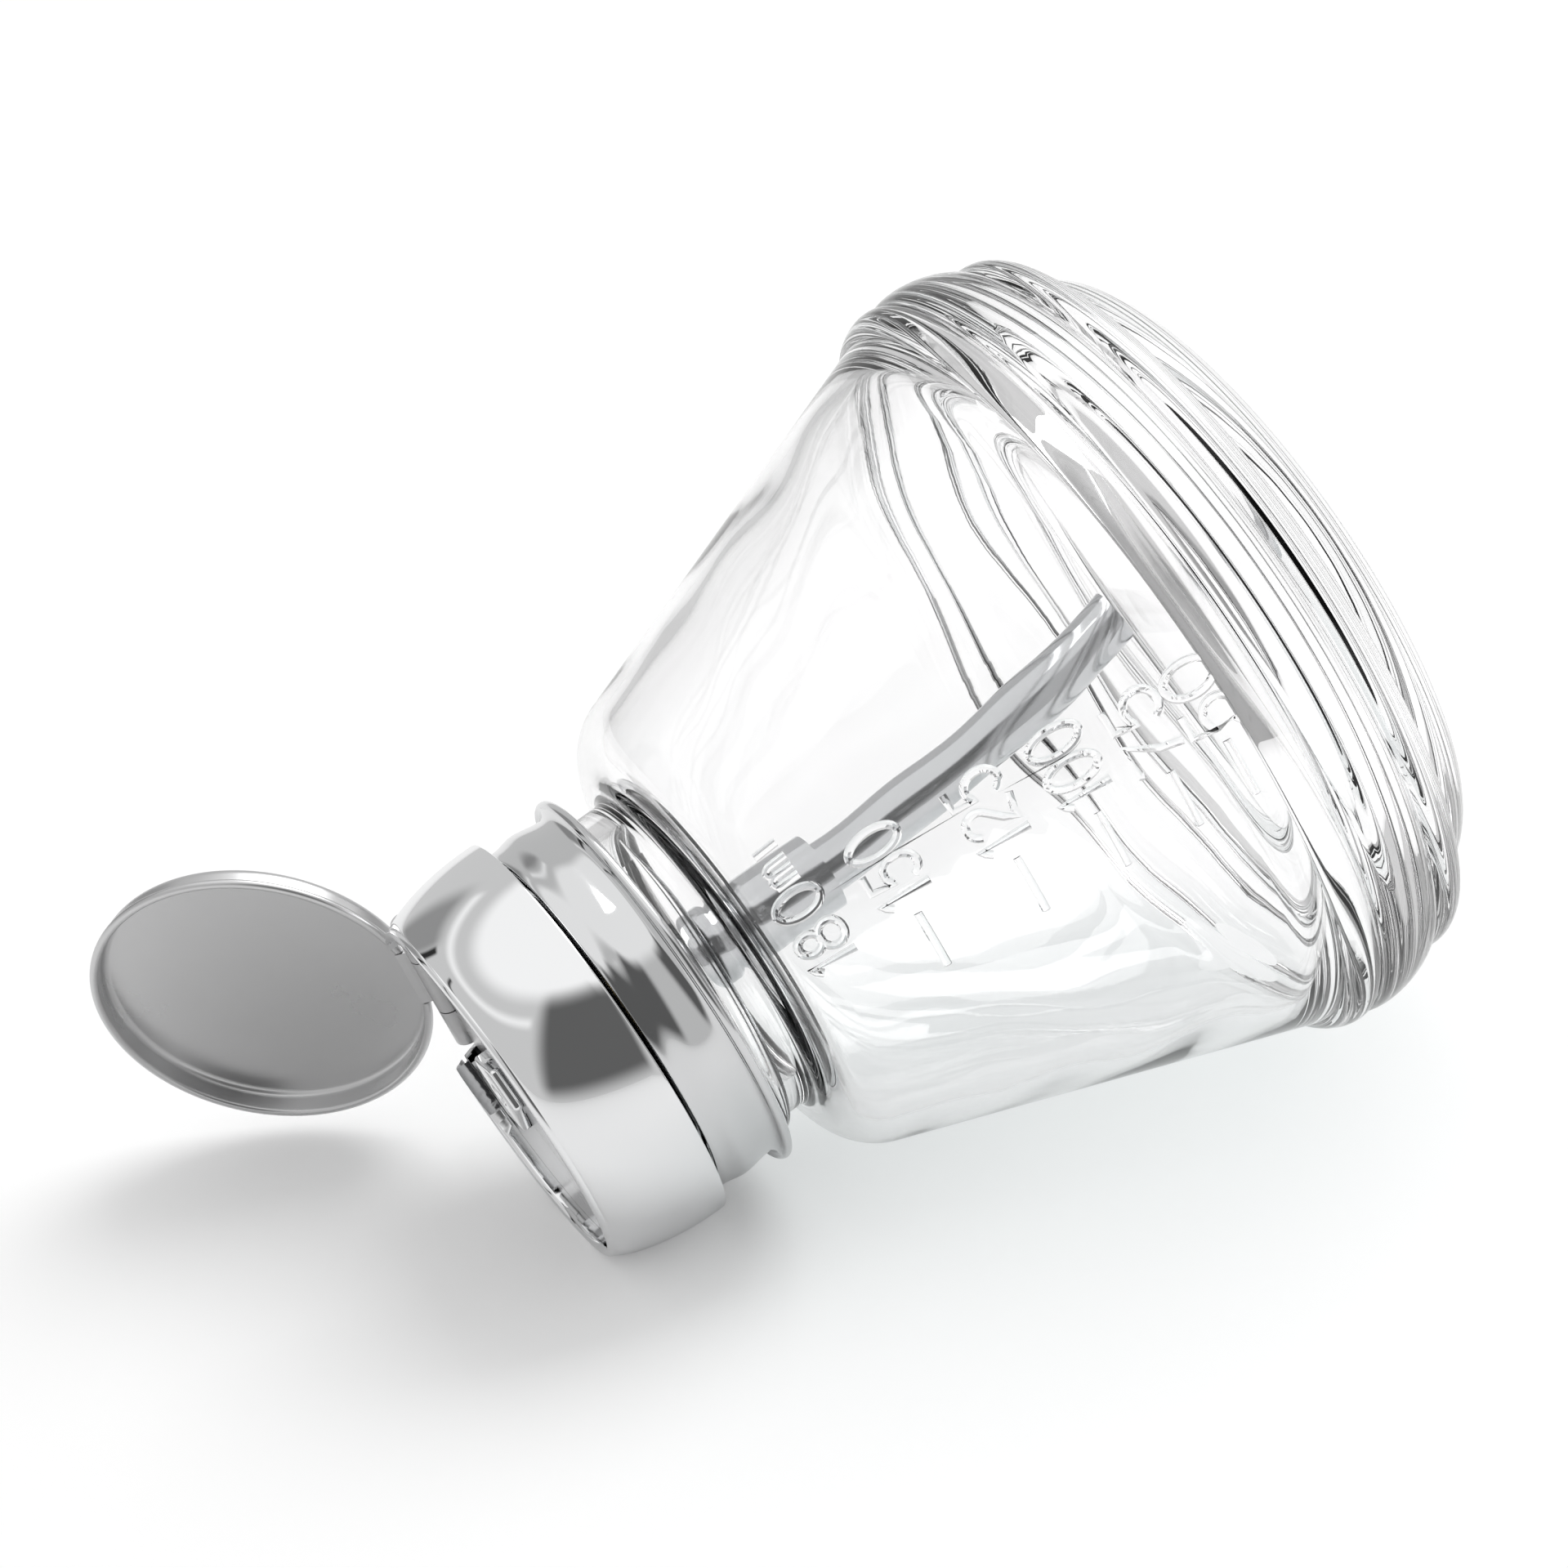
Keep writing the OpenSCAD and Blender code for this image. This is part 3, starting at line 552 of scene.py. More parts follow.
@dataclass(frozen=True)
class ClearGlass:
    """Clear pressed glass with faint waves and the slightest tint."""

    name: str = "clear_glass_look"
    ior: float = 1.5
    tint: Colour = (0.985, 0.992, 0.99)
    other_tint: Colour = (0.995, 0.985, 0.99)
    wave: float = 45.0
    stretch: Triple = (1.0, 1.0, 0.7)
    depth: float = 0.05
    rough: float = 0.012
    shadow: Colour = (0.93, 0.94, 0.94)

    def build(self, effects: Effects) -> bpy.types.Material:
        """Build the material.

        Args:
            effects: The shared shader groups.

        Returns:
            The material.
        """
        material = bpy.data.materials.new(self.name)
        material.use_nodes = True
        tree = material.node_tree
        shader = tree.nodes["Principled BSDF"]
        shader.inputs["Transmission Weight"].default_value = 1.0
        shader.inputs["IOR"].default_value = self.ior
        tone = add(tree, "ShaderNodeGroup", {}, node_tree=effects.tone)
        tone.inputs["First"].default_value = (*self.tint, 1.0)
        tone.inputs["Second"].default_value = (*self.other_tint, 1.0)
        tone.inputs["Scale"].default_value = self.wave
        tree.links.new(tone.outputs["Color"], shader.inputs["Base Color"])
        smudge = add(tree, "ShaderNodeGroup", {}, node_tree=effects.smudge)
        smudge.inputs["Scale"].default_value = self.wave
        smudge.inputs["Low"].default_value = 0.0
        smudge.inputs["High"].default_value = self.rough
        tree.links.new(smudge.outputs["Value"], shader.inputs["Roughness"])
        brush = add(tree, "ShaderNodeGroup", {}, node_tree=effects.brush)
        brush.inputs["Scale"].default_value = self.wave
        brush.inputs["Stretch"].default_value = self.stretch
        bump = add(
            tree,
            "ShaderNodeBump",
            {"Height": brush.outputs["Height"], "Strength": 1.0, "Distance": self.depth * MM},
        )
        tree.links.new(bump.outputs["Normal"], shader.inputs["Normal"])
        path = add(tree, "ShaderNodeLightPath")
        passing = add(
            tree,
            "ShaderNodeMath",
            {0: path.outputs["Is Shadow Ray"], 1: path.outputs["Is Diffuse Ray"]},
            operation="MAXIMUM",
        )
        clear = add(tree, "ShaderNodeBsdfTransparent", {"Color": (*self.shadow, 1.0)})
        mixed = add(
            tree,
            "ShaderNodeMixShader",
            {0: passing.outputs["Value"], 1: shader.outputs["BSDF"], 2: clear.outputs["BSDF"]},
        )
        tree.links.new(mixed.outputs["Shader"], tree.nodes["Material Output"].inputs["Surface"])
        return material


@dataclass(frozen=True)
class BlackRubber:
    """Matt black rubber with a fine grain."""

    name: str = "black_rubber_look"
    light: Colour = (0.045, 0.045, 0.05)
    dark: Colour = (0.025, 0.025, 0.028)
    smooth: float = 0.6
    rough: float = 0.8
    grain: float = 1500.0
    depth: float = 0.02

    def build(self, effects: Effects) -> bpy.types.Material:
        """Build the material.

        Args:
            effects: The shared shader groups.

        Returns:
            The material.
        """
        material = bpy.data.materials.new(self.name)
        material.use_nodes = True
        tree = material.node_tree
        shader = tree.nodes["Principled BSDF"]
        tone = add(tree, "ShaderNodeGroup", {}, node_tree=effects.tone)
        tone.inputs["First"].default_value = (*self.light, 1.0)
        tone.inputs["Second"].default_value = (*self.dark, 1.0)
        tree.links.new(tone.outputs["Color"], shader.inputs["Base Color"])
        smudge = add(tree, "ShaderNodeGroup", {}, node_tree=effects.smudge)
        smudge.inputs["Low"].default_value = self.smooth
        smudge.inputs["High"].default_value = self.rough
        tree.links.new(smudge.outputs["Value"], shader.inputs["Roughness"])
        brush = add(tree, "ShaderNodeGroup", {}, node_tree=effects.brush)
        brush.inputs["Scale"].default_value = self.grain
        brush.inputs["Stretch"].default_value = (1.0, 1.0, 1.0)
        bump = add(tree, "ShaderNodeBump", {"Height": brush.outputs["Height"], "Distance": self.depth * MM})
        tree.links.new(bump.outputs["Normal"], shader.inputs["Normal"])
        return material


@dataclass(frozen=True)
class Finishes:
    """The seven finishes of the bottle."""

    glass: bpy.types.Material
    chrome: bpy.types.Material
    # Darker copy of the chrome; its lower colour is painted shade for the collar's dark reflections.
    collar: bpy.types.Material
    satin: bpy.types.Material
    steel: bpy.types.Material
    brass: bpy.types.Material
    rubber: bpy.types.Material

    @staticmethod
    def build() -> "Finishes":
        """Build every finish from the shared groups.

        Returns:
            The finishes.
        """
        effects = Effects.build()
        chrome = Metal("polished_chrome_look", (0.9, 0.905, 0.91), (0.86, 0.865, 0.87), 0.025, 0.05)
        # The collar's chrome is a darker copy of the head's chrome. Its lower colour is painted shade,
        # standing in for the dark surroundings that the collar reflects.
        collar = Metal("collar_chrome_painted_shade_look", (0.75, 0.755, 0.76), (0.69, 0.695, 0.7), 0.05, 0.09)
        satin = Metal("satin_steel_look", (0.67, 0.67, 0.67), (0.63, 0.63, 0.635), 0.27, 0.32,
                      line=2200.0, stretch=(0.04, 1.0, 1.0), depth=0.0012)
        steel = Metal("drawn_steel_look", (0.66, 0.67, 0.68), (0.6, 0.61, 0.62), 0.06, 0.11, depth=0.001)
        brass = Metal("turned_brass_look", (0.83, 0.67, 0.36), (0.72, 0.55, 0.27), 0.16, 0.28,
                      stretch=(0.05, 0.05, 1.0), depth=0.003)
        return Finishes(
            ClearGlass().build(effects),
            chrome.build(effects),
            collar.build(effects),
            satin.build(effects),
            steel.build(effects),
            brass.build(effects),
            BlackRubber().build(effects),
        )


# Geometry Nodes


def finish_tree(
    tree: bpy.types.NodeTree, result: bpy.types.Node, shape: bpy.types.NodeSocket, look: bpy.types.NodeSocket
) -> None:
    """End a tree with smooth shading, real instances and the material.

    Args:
        tree: The Geometry Nodes tree.
        result: Its output node.
        shape: The geometry so far.
        look: The material's input.
    """
    smooth = add(tree, "GeometryNodeSetShadeSmooth", {"Geometry": shape})
    real = add(tree, "GeometryNodeRealizeInstances", {"Geometry": smooth.outputs["Geometry"]})
    dressed = add(tree, "GeometryNodeSetMaterial", {"Geometry": real.outputs["Geometry"], "Material": look})
    tree.links.new(dressed.outputs["Geometry"], result.inputs["Geometry"])


def stroke_tree() -> bpy.types.NodeTree:
    """Tree that lays a round bead along every line of a wire mesh.

    Returns:
        The tree.
    """
    tree, given, result = grouped(
        "moulded_strokes",
        "GeometryNodeTree",
        {
            "Geometry": ("NodeSocketGeometry", None),
            "Bead radius": ("NodeSocketFloat", 0.0004),
            "Sides": ("NodeSocketInt", 12),
            "Look": ("NodeSocketMaterial", None),
        },
        {"Geometry": "NodeSocketGeometry"},
    )
    lines = add(tree, "GeometryNodeMeshToCurve", {"Mesh": given.outputs["Geometry"]})
    section = add(
        tree,
        "GeometryNodeCurvePrimitiveCircle",
        {"Resolution": given.outputs["Sides"], "Radius": given.outputs["Bead radius"]},
    )
    swept = add(
        tree,
        "GeometryNodeCurveToMesh",
        {"Curve": lines.outputs["Curve"], "Profile Curve": section.outputs["Curve"], "Fill Caps": True},
    )
    finish_tree(tree, result, swept.outputs["Mesh"], given.outputs["Look"])
    return tree


def thread_tree() -> bpy.types.NodeTree:
    """Tree that winds a screw thread which fades in and out at its ends.

    Returns:
        The tree.
    """
    tree, given, result = grouped(
        "screw_thread",
        "GeometryNodeTree",
        {
            "Radius": ("NodeSocketFloat", 0.0177),
            "Pitch": ("NodeSocketFloat", 0.00423),
            "Turns": ("NodeSocketFloat", 1.5),
            "Start height": ("NodeSocketFloat", 0.0696),
            "Bead radius": ("NodeSocketFloat", 0.0009),
            "Fading share": ("NodeSocketFloat", 0.06),
            "End share": ("NodeSocketFloat", 0.15),
            "Steps": ("NodeSocketInt", 96),
            "Sides": ("NodeSocketInt", 20),
            "Look": ("NodeSocketMaterial", None),
        },
        {"Geometry": "NodeSocketGeometry"},
    )
    rise = add(
        tree, "ShaderNodeMath", {0: given.outputs["Pitch"], 1: given.outputs["Turns"]}, operation="MULTIPLY"
    )
    helix = add(
        tree,
        "GeometryNodeCurveSpiral",
        {"Resolution": given.outputs["Steps"], "Rotations": given.outputs["Turns"],
         "Start Radius": given.outputs["Radius"], "End Radius": given.outputs["Radius"],
         "Height": rise.outputs["Value"]},
    )
    lift = add(tree, "ShaderNodeCombineXYZ", {"Z": given.outputs["Start height"]})
    raised = add(
        tree,
        "GeometryNodeTransform",
        {"Geometry": helix.outputs["Curve"], "Translation": lift.outputs["Vector"]},
    )
    along = add(tree, "GeometryNodeSplineParameter")
    back = add(tree, "ShaderNodeMath", {0: 1.0, 1: along.outputs["Factor"]}, operation="SUBTRACT")
    nearest = add(
        tree, "ShaderNodeMath", {0: along.outputs["Factor"], 1: back.outputs["Value"]}, operation="MINIMUM"
    )
    fade = add(
        tree,
        "ShaderNodeMapRange",
        {"Value": nearest.outputs["Value"], "From Max": given.outputs["Fading share"],
         "To Min": given.outputs["End share"]},
        interpolation_type="SMOOTHSTEP",
    )
    section = add(
        tree,
        "GeometryNodeCurvePrimitiveCircle",
        {"Resolution": given.outputs["Sides"], "Radius": given.outputs["Bead radius"]},
    )
    swept = add(
        tree,
        "GeometryNodeCurveToMesh",
        {"Curve": raised.outputs["Geometry"], "Profile Curve": section.outputs["Curve"],
         "Scale": fade.outputs["Result"], "Fill Caps": True},
    )
    finish_tree(tree, result, swept.outputs["Mesh"], given.outputs["Look"])
    return tree


def grown(piece: bpy.types.Object, tree: bpy.types.NodeTree, values: dict[str, object]) -> None:
    """Run a tree on a piece and keep the result as its plain mesh.

    Args:
        piece: The object, whose mesh may be empty.
        tree: The Geometry Nodes tree.
        values: Value of each named input.
    """
    step = piece.modifiers.new("shape", "NODES")
    step.node_group = tree
    for item in tree.interface.items_tree:
        if item.in_out == "INPUT" and item.name in values:
            step[item.identifier] = values[item.name]
    apply_modifiers(piece)
    shape = bmesh.new()
    shape.from_mesh(piece.data)
    bmesh.ops.remove_doubles(shape, verts=shape.verts, dist=MERGE_M)
    bmesh.ops.recalc_face_normals(shape, faces=shape.faces)
    shape.to_mesh(piece.data)
    shape.free()


# Sub-assemblies


def oval(x: float, y: float, rx: float, ry: float, start: float, end: float, steps: int = 18) -> Outline:
    """Points along part of an oval, for the strokes of a figure.

    Args:
        x: Place of its middle across.
        y: Place of its middle upwards.
        rx: Half its width.
        ry: Half its height.
        start: Angle of the first point, in degrees.
        end: Angle of the last point, in degrees.
        steps: Number of chords.

    Returns:
        The points.
    """
    turns = [math.radians(start + (end - start) * i / steps) for i in range(steps + 1)]
    return [(x + rx * math.cos(t), y + ry * math.sin(t)) for t in turns]


@dataclass(frozen=True)
class Sway:
    """Slow wave round and up the inner wall of the glass."""

    count: int
    climb: float
    shift: float
    share: float

    def at(self, turn: float, z: float) -> float:
        """Its height at a place, as a share of the waves' depth."""
        return self.share * math.sin(self.count * turn + self.climb * z + self.shift)


@dataclass(frozen=True)
class Figures:
    """Plain figures drawn with round strokes, set from the last sign of a row to the first."""

    height: float = 5.25
    width: float = 2.5
    advance: float = 3.15
    narrow: float = 2.4

    def strokes(self, sign: str) -> list[Outline]:
        """Strokes of one sign.

        Args:
            sign: The figure or letter.

        Returns:
            Its strokes, from 0 to 1 across and 0 to 2 upwards.
        """
        table = {
            "0": [oval(0.5, 1.0, 0.5, 1.0, 0, 360, 32)],
            "1": [[(0.24, 1.62), (0.42, 1.86), (0.55, 2.0), (0.55, 0.0)]],
            "2": [oval(0.5, 1.5, 0.48, 0.5, 165, -40)
                  + [(0.32, 0.62), (0.06, 0.12), (0.4, 0.16), (1.0, 0.0)]],
            "5": [[(0.95, 2.0), (0.2, 2.0), (0.1, 1.16)] + oval(0.48, 0.66, 0.52, 0.66, 125, -150)],
            "7": [[(0.0, 1.86), (0.04, 2.0), (1.0, 2.0), (0.5, 0.9), (0.36, 0.0)]],
            "8": [oval(0.5, 1.5, 0.4, 0.5, 0, 360, 28), oval(0.5, 0.52, 0.5, 0.52, 0, 360, 28)],
            "m": [[(0.0, 0.0), (0.0, 2.0)], oval(0.25, 1.4, 0.25, 0.6, 180, 0, 10) + [(0.5, 0.0)],
                  oval(0.75, 1.4, 0.25, 0.6, 180, 0, 10) + [(1.0, 0.0)]],
            "l": [[(0.5, 0.0), (0.5, 2.0)]],
        }
        return table[sign]

    def written(self, text: str, last: float) -> list[list[Outline]]:
        """Strokes of each sign of a row, in mm.

        Args:
            text: The signs.
            last: Distance to the middle of the last sign, in mm.

        Returns:
            The strokes of each sign, with their heights from the middle of the row.
        """
        signs = []
        middle = last
        for place in range(len(text) - 1, -1, -1):
            left = middle - self.width / 2
            signs.append([
                [(left + x * self.width, (y / 2 - 0.5) * self.height) for x, y in stroke]
                for stroke in self.strokes(text[place])
            ])
            middle -= self.narrow if text[max(place - 1, 0)] == "1" else self.advance
        return signs


@dataclass(frozen=True)
class Row:
    """Row of figures on the glass: its signs, height, last sign's place and style."""

    text: str
    height: float
    last: float
    figures: Figures
    ticked: bool = True


SLIM = Figures()
WIDE = Figures(height=5.1, width=3.2, advance=4.15)
SPACED = Figures(height=4.7, width=2.5, advance=3.85)
SMALL = Figures(height=2.5, width=2.1, advance=2.5, narrow=2.5)


@dataclass
class GlassBottle:
    """Glass bottle with its beads, screw thread, measuring marks and figures."""

    cone_r: float = 41.68
    half_angle: float = 19.7
    wall: float = 2.2
    push_up: float = 5.0
    ring: float = 3.0
    foot_r: float = 30.08
    foot_round: float = 6.2
    # Radius and height of the lowest bead's middle, and the bead's own radius
    low_bead: Triple = (38.28, 8.1, 2.2)
    low_bead_start: float = -80.0
    low_bead_end: float = 39.4
    notch_r: float = 39.98
    notch_z: float = 9.7
    top_notch_r: float = 41.38
    top_notch_z: float = 17.6
    bead_end_z: float = 21.2
    broad_swell: float = 1.6
    top_swell: float = 1.2
    floor_z: float = 12.2
    floor_round: float = 9.0
    floor_crown: float = 0.5
    wave_depth: float = 0.12
    sways: tuple[Sway, ...] = (
        Sway(3, 0.2, 0.0, 0.5),
        Sway(5, -0.34, 1.3, 0.5),
        Sway(8, 0.5, 0.0, 0.3),
    )
    shoulder_z: float = 67.4
    shoulder_round: float = 7.5
    neck_r: float = 17.4
    bore_r: float = 14.8
    neck_top_z: float = 78.0
    neck_fillet: float = 0.9
    lip: float = 0.6
    bore_round: float = 1.3
    thread_r: float = 17.7
    thread_z: float = 69.6
    thread_bead: float = 0.9
    thread_turns: float = 1.45
    thread_pitch: float = 4.23
    mark_bead: float = 0.48
    mark_sink: float = 0.2
    cone_near: float = 0.03
    tick_start: float = -64.3
    tick_length: float = 6.0
    rows: tuple[Row, ...] = (
        Row("50", 22.9, 6.7, WIDE),
        Row("75", 28.4, 6.55, WIDE),
        Row("100", 35.5, 7.6, SLIM),
        Row("125", 43.5, 7.5, SLIM),
        Row("150", 53.3, 7.6, SLIM),
        Row("180", 61.6, 6.2, SPACED, False),
        Row("ml", 61.2, 12.0, SMALL, False),
    )

    def cone_at(self, z: float) -> float:
        """Outer radius of the cone at a height."""
        return self.cone_r - (z - self.top_notch_z) * math.tan(math.radians(self.half_angle))

    def inner_at(self, z: float) -> float:
        """Radius of the inner wall at a height."""
        return self.cone_at(z) - self.wall / math.cos(math.radians(self.half_angle))

    def touch_z(self) -> float:
        """Height at which the cone meets the round of the shoulder."""
        return self.shoulder_z - self.shoulder_round * (1 - math.sin(math.radians(self.half_angle)))

    def wave(self, turn: float, z: float) -> float:
        """How far the inner wall wanders at a place, as pressed glass does.

        Args:
            turn: Compass angle of the place, in radians.
            z: Height of the place, in mm.

        Returns:
            The distance outwards, in mm.
        """
        share = (z - self.top_notch_z) / (self.shoulder_z - self.shoulder_round - self.top_notch_z)
        fade = max(0.0, math.sin(math.pi * min(max(share, 0.0), 1.0)))
        return self.wave_depth * math.sqrt(fade) * sum(sway.at(turn, z) for sway in self.sways)

    def outline(self) -> Outline:
        """Outline of the glass, outside and then inside.

        Returns:
            The points as (radius, height) pairs, in mm.
        """
        half = math.radians(self.half_angle)
        centre_z = self.shoulder_z - self.shoulder_round
        centre_r = self.cone_at(self.touch_z()) - self.shoulder_round * math.cos(half)
        corner_z = self.floor_z + self.floor_round
        corner_r = self.inner_at(corner_z) - self.floor_round / math.cos(half)
        top = (self.shoulder_round - self.wall) * math.sin(half) + centre_z
        low = corner_z + self.floor_round * math.sin(half)
        wall_steps = 30
        wall_z = [top + (low - top) * i / wall_steps for i in range(1, wall_steps)]
        ring_r = self.foot_r - self.ring
        hollow_steps = 20
        hollow_turns = [math.pi / 2 * i / hollow_steps for i in range(hollow_steps + 1)]
        hollow = [(ring_r * math.sin(t), self.push_up * math.cos(t)) for t in hollow_turns]
        bead_end_r = self.cone_at(self.bead_end_z)
        fillet_r = self.neck_r + self.neck_fillet
        fillet_z = self.shoulder_z + self.neck_fillet
        bore_low = self.shoulder_z - self.wall
        crown_steps = 12
        crown_top = self.floor_z + self.floor_crown
        return (
            hollow
            + arc(self.foot_r, self.foot_round, self.foot_round, -90, 0, 18)
            + arc(*self.low_bead, self.low_bead_start, self.low_bead_end, 16)
            + [(self.notch_r, self.notch_z)]
            + bead(self.notch_z, self.top_notch_z, self.notch_r, self.top_notch_r, self.broad_swell)
            + [(self.top_notch_r, self.top_notch_z)]
            + bead(self.top_notch_z, self.bead_end_z, self.top_notch_r, bead_end_r, self.top_swell)
            + [(bead_end_r, self.bead_end_z)]
            + arc(centre_r, centre_z, self.shoulder_round, self.half_angle, 90, 22)
            + arc(fillet_r, fillet_z, self.neck_fillet, 270, 180, 8)
            + arc(self.neck_r - self.lip, self.neck_top_z - self.lip, self.lip, 0, 90, 6)
            + arc(self.bore_r + self.lip, self.neck_top_z - self.lip, self.lip, 90, 180, 6)
            + arc(self.bore_r + self.bore_round, bore_low + self.bore_round, self.bore_round, 180, 270, 8)
            + arc(centre_r, centre_z, self.shoulder_round - self.wall, 90, self.half_angle, 18)
            + [(self.inner_at(z), z) for z in wall_z]
            + arc(corner_r, corner_z, self.floor_round, self.half_angle, -90, 24)
            + [(corner_r * (1 - i / crown_steps), ease(self.floor_z, crown_top, i / crown_steps))
               for i in range(1, crown_steps + 1)]
        )

    def on_cone(self, start: float, height: float, across: float, up: float) -> Triple:
        """Place of a point of a mark on the cone.

        Args:
            start: Compass angle of the mark's left end, in degrees.
            height: Height of the mark's middle, in mm.
            across: Distance to the right of that end, in mm.
            up: Distance up the side from that height, in mm.

        Returns:
            The point in metres.
        """
        half = math.radians(self.half_angle)
        z = height + up * math.cos(half)
        r = self.cone_at(z)
        turn = math.radians(start) + across / self.cone_at(height)
        r_in = r - self.mark_sink * math.cos(half)
        z_in = z - self.mark_sink * math.sin(half)
        return (r_in * math.cos(turn) * MM, r_in * math.sin(turn) * MM, z_in * MM)

    def layers(self) -> list[list[list[Triple]]]:
        """Lines of the ticks and figures, in layers whose lines never touch each other.

        Returns:
            The points of each line, in metres, layer by layer.
        """
        layers: list[list[list[Triple]]] = [[], [], []]
        tick_steps = 8
        tick = [-self.tick_length * i / tick_steps for i in range(tick_steps + 1)]
        for row in self.rows:
            if row.ticked:
                layers[0].append([self.on_cone(self.tick_start, row.height, x, 0.0) for x in tick])
            for sign in row.figures.written(row.text, row.last):
                for layer, stroke in zip(layers, sign):
                    layer.append([self.on_cone(self.tick_start, row.height, x, y) for x, y in stroke])
        return layers

    def waved(self, body: bpy.types.Object) -> None:
        """Let the inner wall of the glass wander.

        Args:
            body: The glass, whose mesh changes.
        """
        for point in body.data.vertices:
            r = math.hypot(point.co.x, point.co.y) / MM
            z = point.co.z / MM
            inside = self.neck_r < r < self.cone_at(z) - self.wall / 2
            if inside and self.top_notch_z < z < self.shoulder_z:
                swell = 1 + self.wave(math.atan2(point.co.y, point.co.x), z) / r
                point.co.x *= swell
                point.co.y *= swell

    def smooth_cone(self, body: bpy.types.Object) -> None:
        """Give the cone's outer faces the normals of a true cone, also beside the marks.

        Args:
            body: The finished glass, whose mesh changes.
        """
        half = math.radians(self.half_angle)
        outwards = math.cos(half)
        upwards = math.sin(half)
        near = self.cone_near
        low_z = self.bead_end_z - near
        high_z = self.touch_z() + near
        mesh = body.data
        places = [point.co / MM for point in mesh.vertices]
        on_cone = [
            low_z < p.z < high_z and abs(math.hypot(p.x, p.y) - self.cone_at(p.z)) < near for p in places
        ]
        normals = [tuple(corner.vector) for corner in mesh.corner_normals]
        for face in mesh.polygons:
            if not all(on_cone[i] for i in face.vertices):
                continue
            for loop, i in zip(face.loop_indices, face.vertices):
                turn = math.atan2(places[i].y, places[i].x)
                normals[loop] = (math.cos(turn) * outwards, math.sin(turn) * outwards, upwards)
        mesh.normals_split_custom_set(normals)

    def marks(self, lines: list[list[Triple]], finishes: Finishes) -> bpy.types.Object:
        """Round beads along one layer of lines.

        Args:
            lines: The lines, each open or ending where it starts.
            finishes: The finishes of the bottle.

        Returns:
            The beads as one object.
        """
        mesh = bpy.data.meshes.new("marks")
        points: list[Triple] = []
        edges: list[tuple[int, int]] = []
        for line in lines:
            first = len(points)
            looped = math.dist(line[0], line[-1]) < MERGE_M
            kept = line[:-1] if looped else line
            points += kept
            edges += [(first + i, first + i + 1) for i in range(len(kept) - 1)]
            if looped:
                edges.append((first + len(kept) - 1, first))
        mesh.from_pydata(points, edges, [])
        marks = new_object("marks", mesh)
        grown(marks, stroke_tree(), {"Bead radius": self.mark_bead * MM, "Look": finishes.glass})
        return marks

    def thread(self, finishes: Finishes) -> bpy.types.Object:
        """Screw thread of the neck.

        Args:
            finishes: The finishes of the bottle.

        Returns:
            The thread as one object.
        """
        thread = new_object("thread", bpy.data.meshes.new("thread"))
        grown(thread, thread_tree(), {
            "Radius": self.thread_r * MM, "Pitch": self.thread_pitch * MM, "Turns": self.thread_turns,
            "Start height": self.thread_z * MM, "Bead radius": self.thread_bead * MM, "Look": finishes.glass,
        })
        return thread

    def build(self, finishes: Finishes) -> None:
        """Build the glass in one piece with its thread and its moulded marks.

        Args:
            finishes: The finishes of the bottle.
        """
        body = turned("bottle_glass", self.outline(), steps=256)
        self.waved(body)
        tools = [self.marks(lines, finishes) for lines in self.layers()]
        combine(body, tools + [self.thread(finishes)], "UNION")
        shade(body, 30)
        self.smooth_cone(body)
        fit(body, Body.BOTTLE, finishes.glass, ("glass_bottle",))


@dataclass
class Collar:
    """Thin chromed ring with a rolled flange, a groove and a bulge."""

    sheet: float = 0.5
    roll: float = 0.55
    roll_r: float = 20.25
    roll_z: float = 72.25
    roll_start: float = 205.0
    roll_end: float = 425.0
    groove_r: float = 19.35
    groove_z: float = 73.45
    bulge_r: float = 19.7
    bulge_z: float = 76.45
    top_z: float = 80.3
    edge: float = 1.6
    hole_r: float = 6.5

    def outline(self) -> Outline:
        """Closed outline of the ring.

        Returns:
            The points as (radius, height) pairs, in mm.
        """
        steps = 10
        over = self.roll_z + self.sheet / 2
        flare = []
        for i in range(1, steps + 1):
            turn = math.pi / 2 * i / steps
            flare.append((self.groove_r + (self.roll_r - self.groove_r) * (1 - math.sin(turn)),
                          over + (self.groove_z - over) * (1 - math.cos(turn))))
        swell = [(ease(self.groove_r, self.bulge_r, i / steps),
                  self.groove_z + (self.bulge_z - self.groove_z) * i / steps) for i in range(1, steps + 1)]
        edge_z = self.top_z - self.edge
        fall = [(ease(self.bulge_r, self.groove_r, i / steps),
                 self.bulge_z + (edge_z - self.bulge_z) * i / steps) for i in range(1, steps)]
        inner = self.groove_r - self.sheet
        return (
            arc(self.roll_r, self.roll_z, self.roll, self.roll_start, self.roll_end, 22)
            + flare
            + swell
            + fall
            + arc(self.groove_r - self.edge, edge_z, self.edge, 0, 90, 10)
            + [(self.hole_r, self.top_z), (self.hole_r, self.top_z - self.sheet)]
            + arc(inner - self.edge, self.top_z - self.sheet - self.edge, self.edge, 90, 0, 8)
            + [(inner, over - self.sheet)]
        )

    def build(self, finishes: Finishes) -> None:
        """Build the ring.

        Args:
            finishes: The finishes of the bottle.
        """
        ring = turned("collar_ring", self.outline(), steps=224, closed=True)
        shade(ring, 40)
        # The ring takes the darker copy of the chrome, whose colour holds painted shade for its dark
        # reflections.
        fit(ring, Body.COLLAR, finishes.collar, ("collar",))


@dataclass
class Hinge:
    """Places and sizes that the head and the lid share at the hinge."""

    y: float = 19.2
    z: float = 88.6
    knuckle_r: float = 1.35
    width: float = 17.0
    strap: float = 7.2
    play: float = 0.15
    slot_half: float = 8.8
    slot_y: float = 14.8
    slot_low_y: float = 17.25
    slot_low_z: float = 86.8


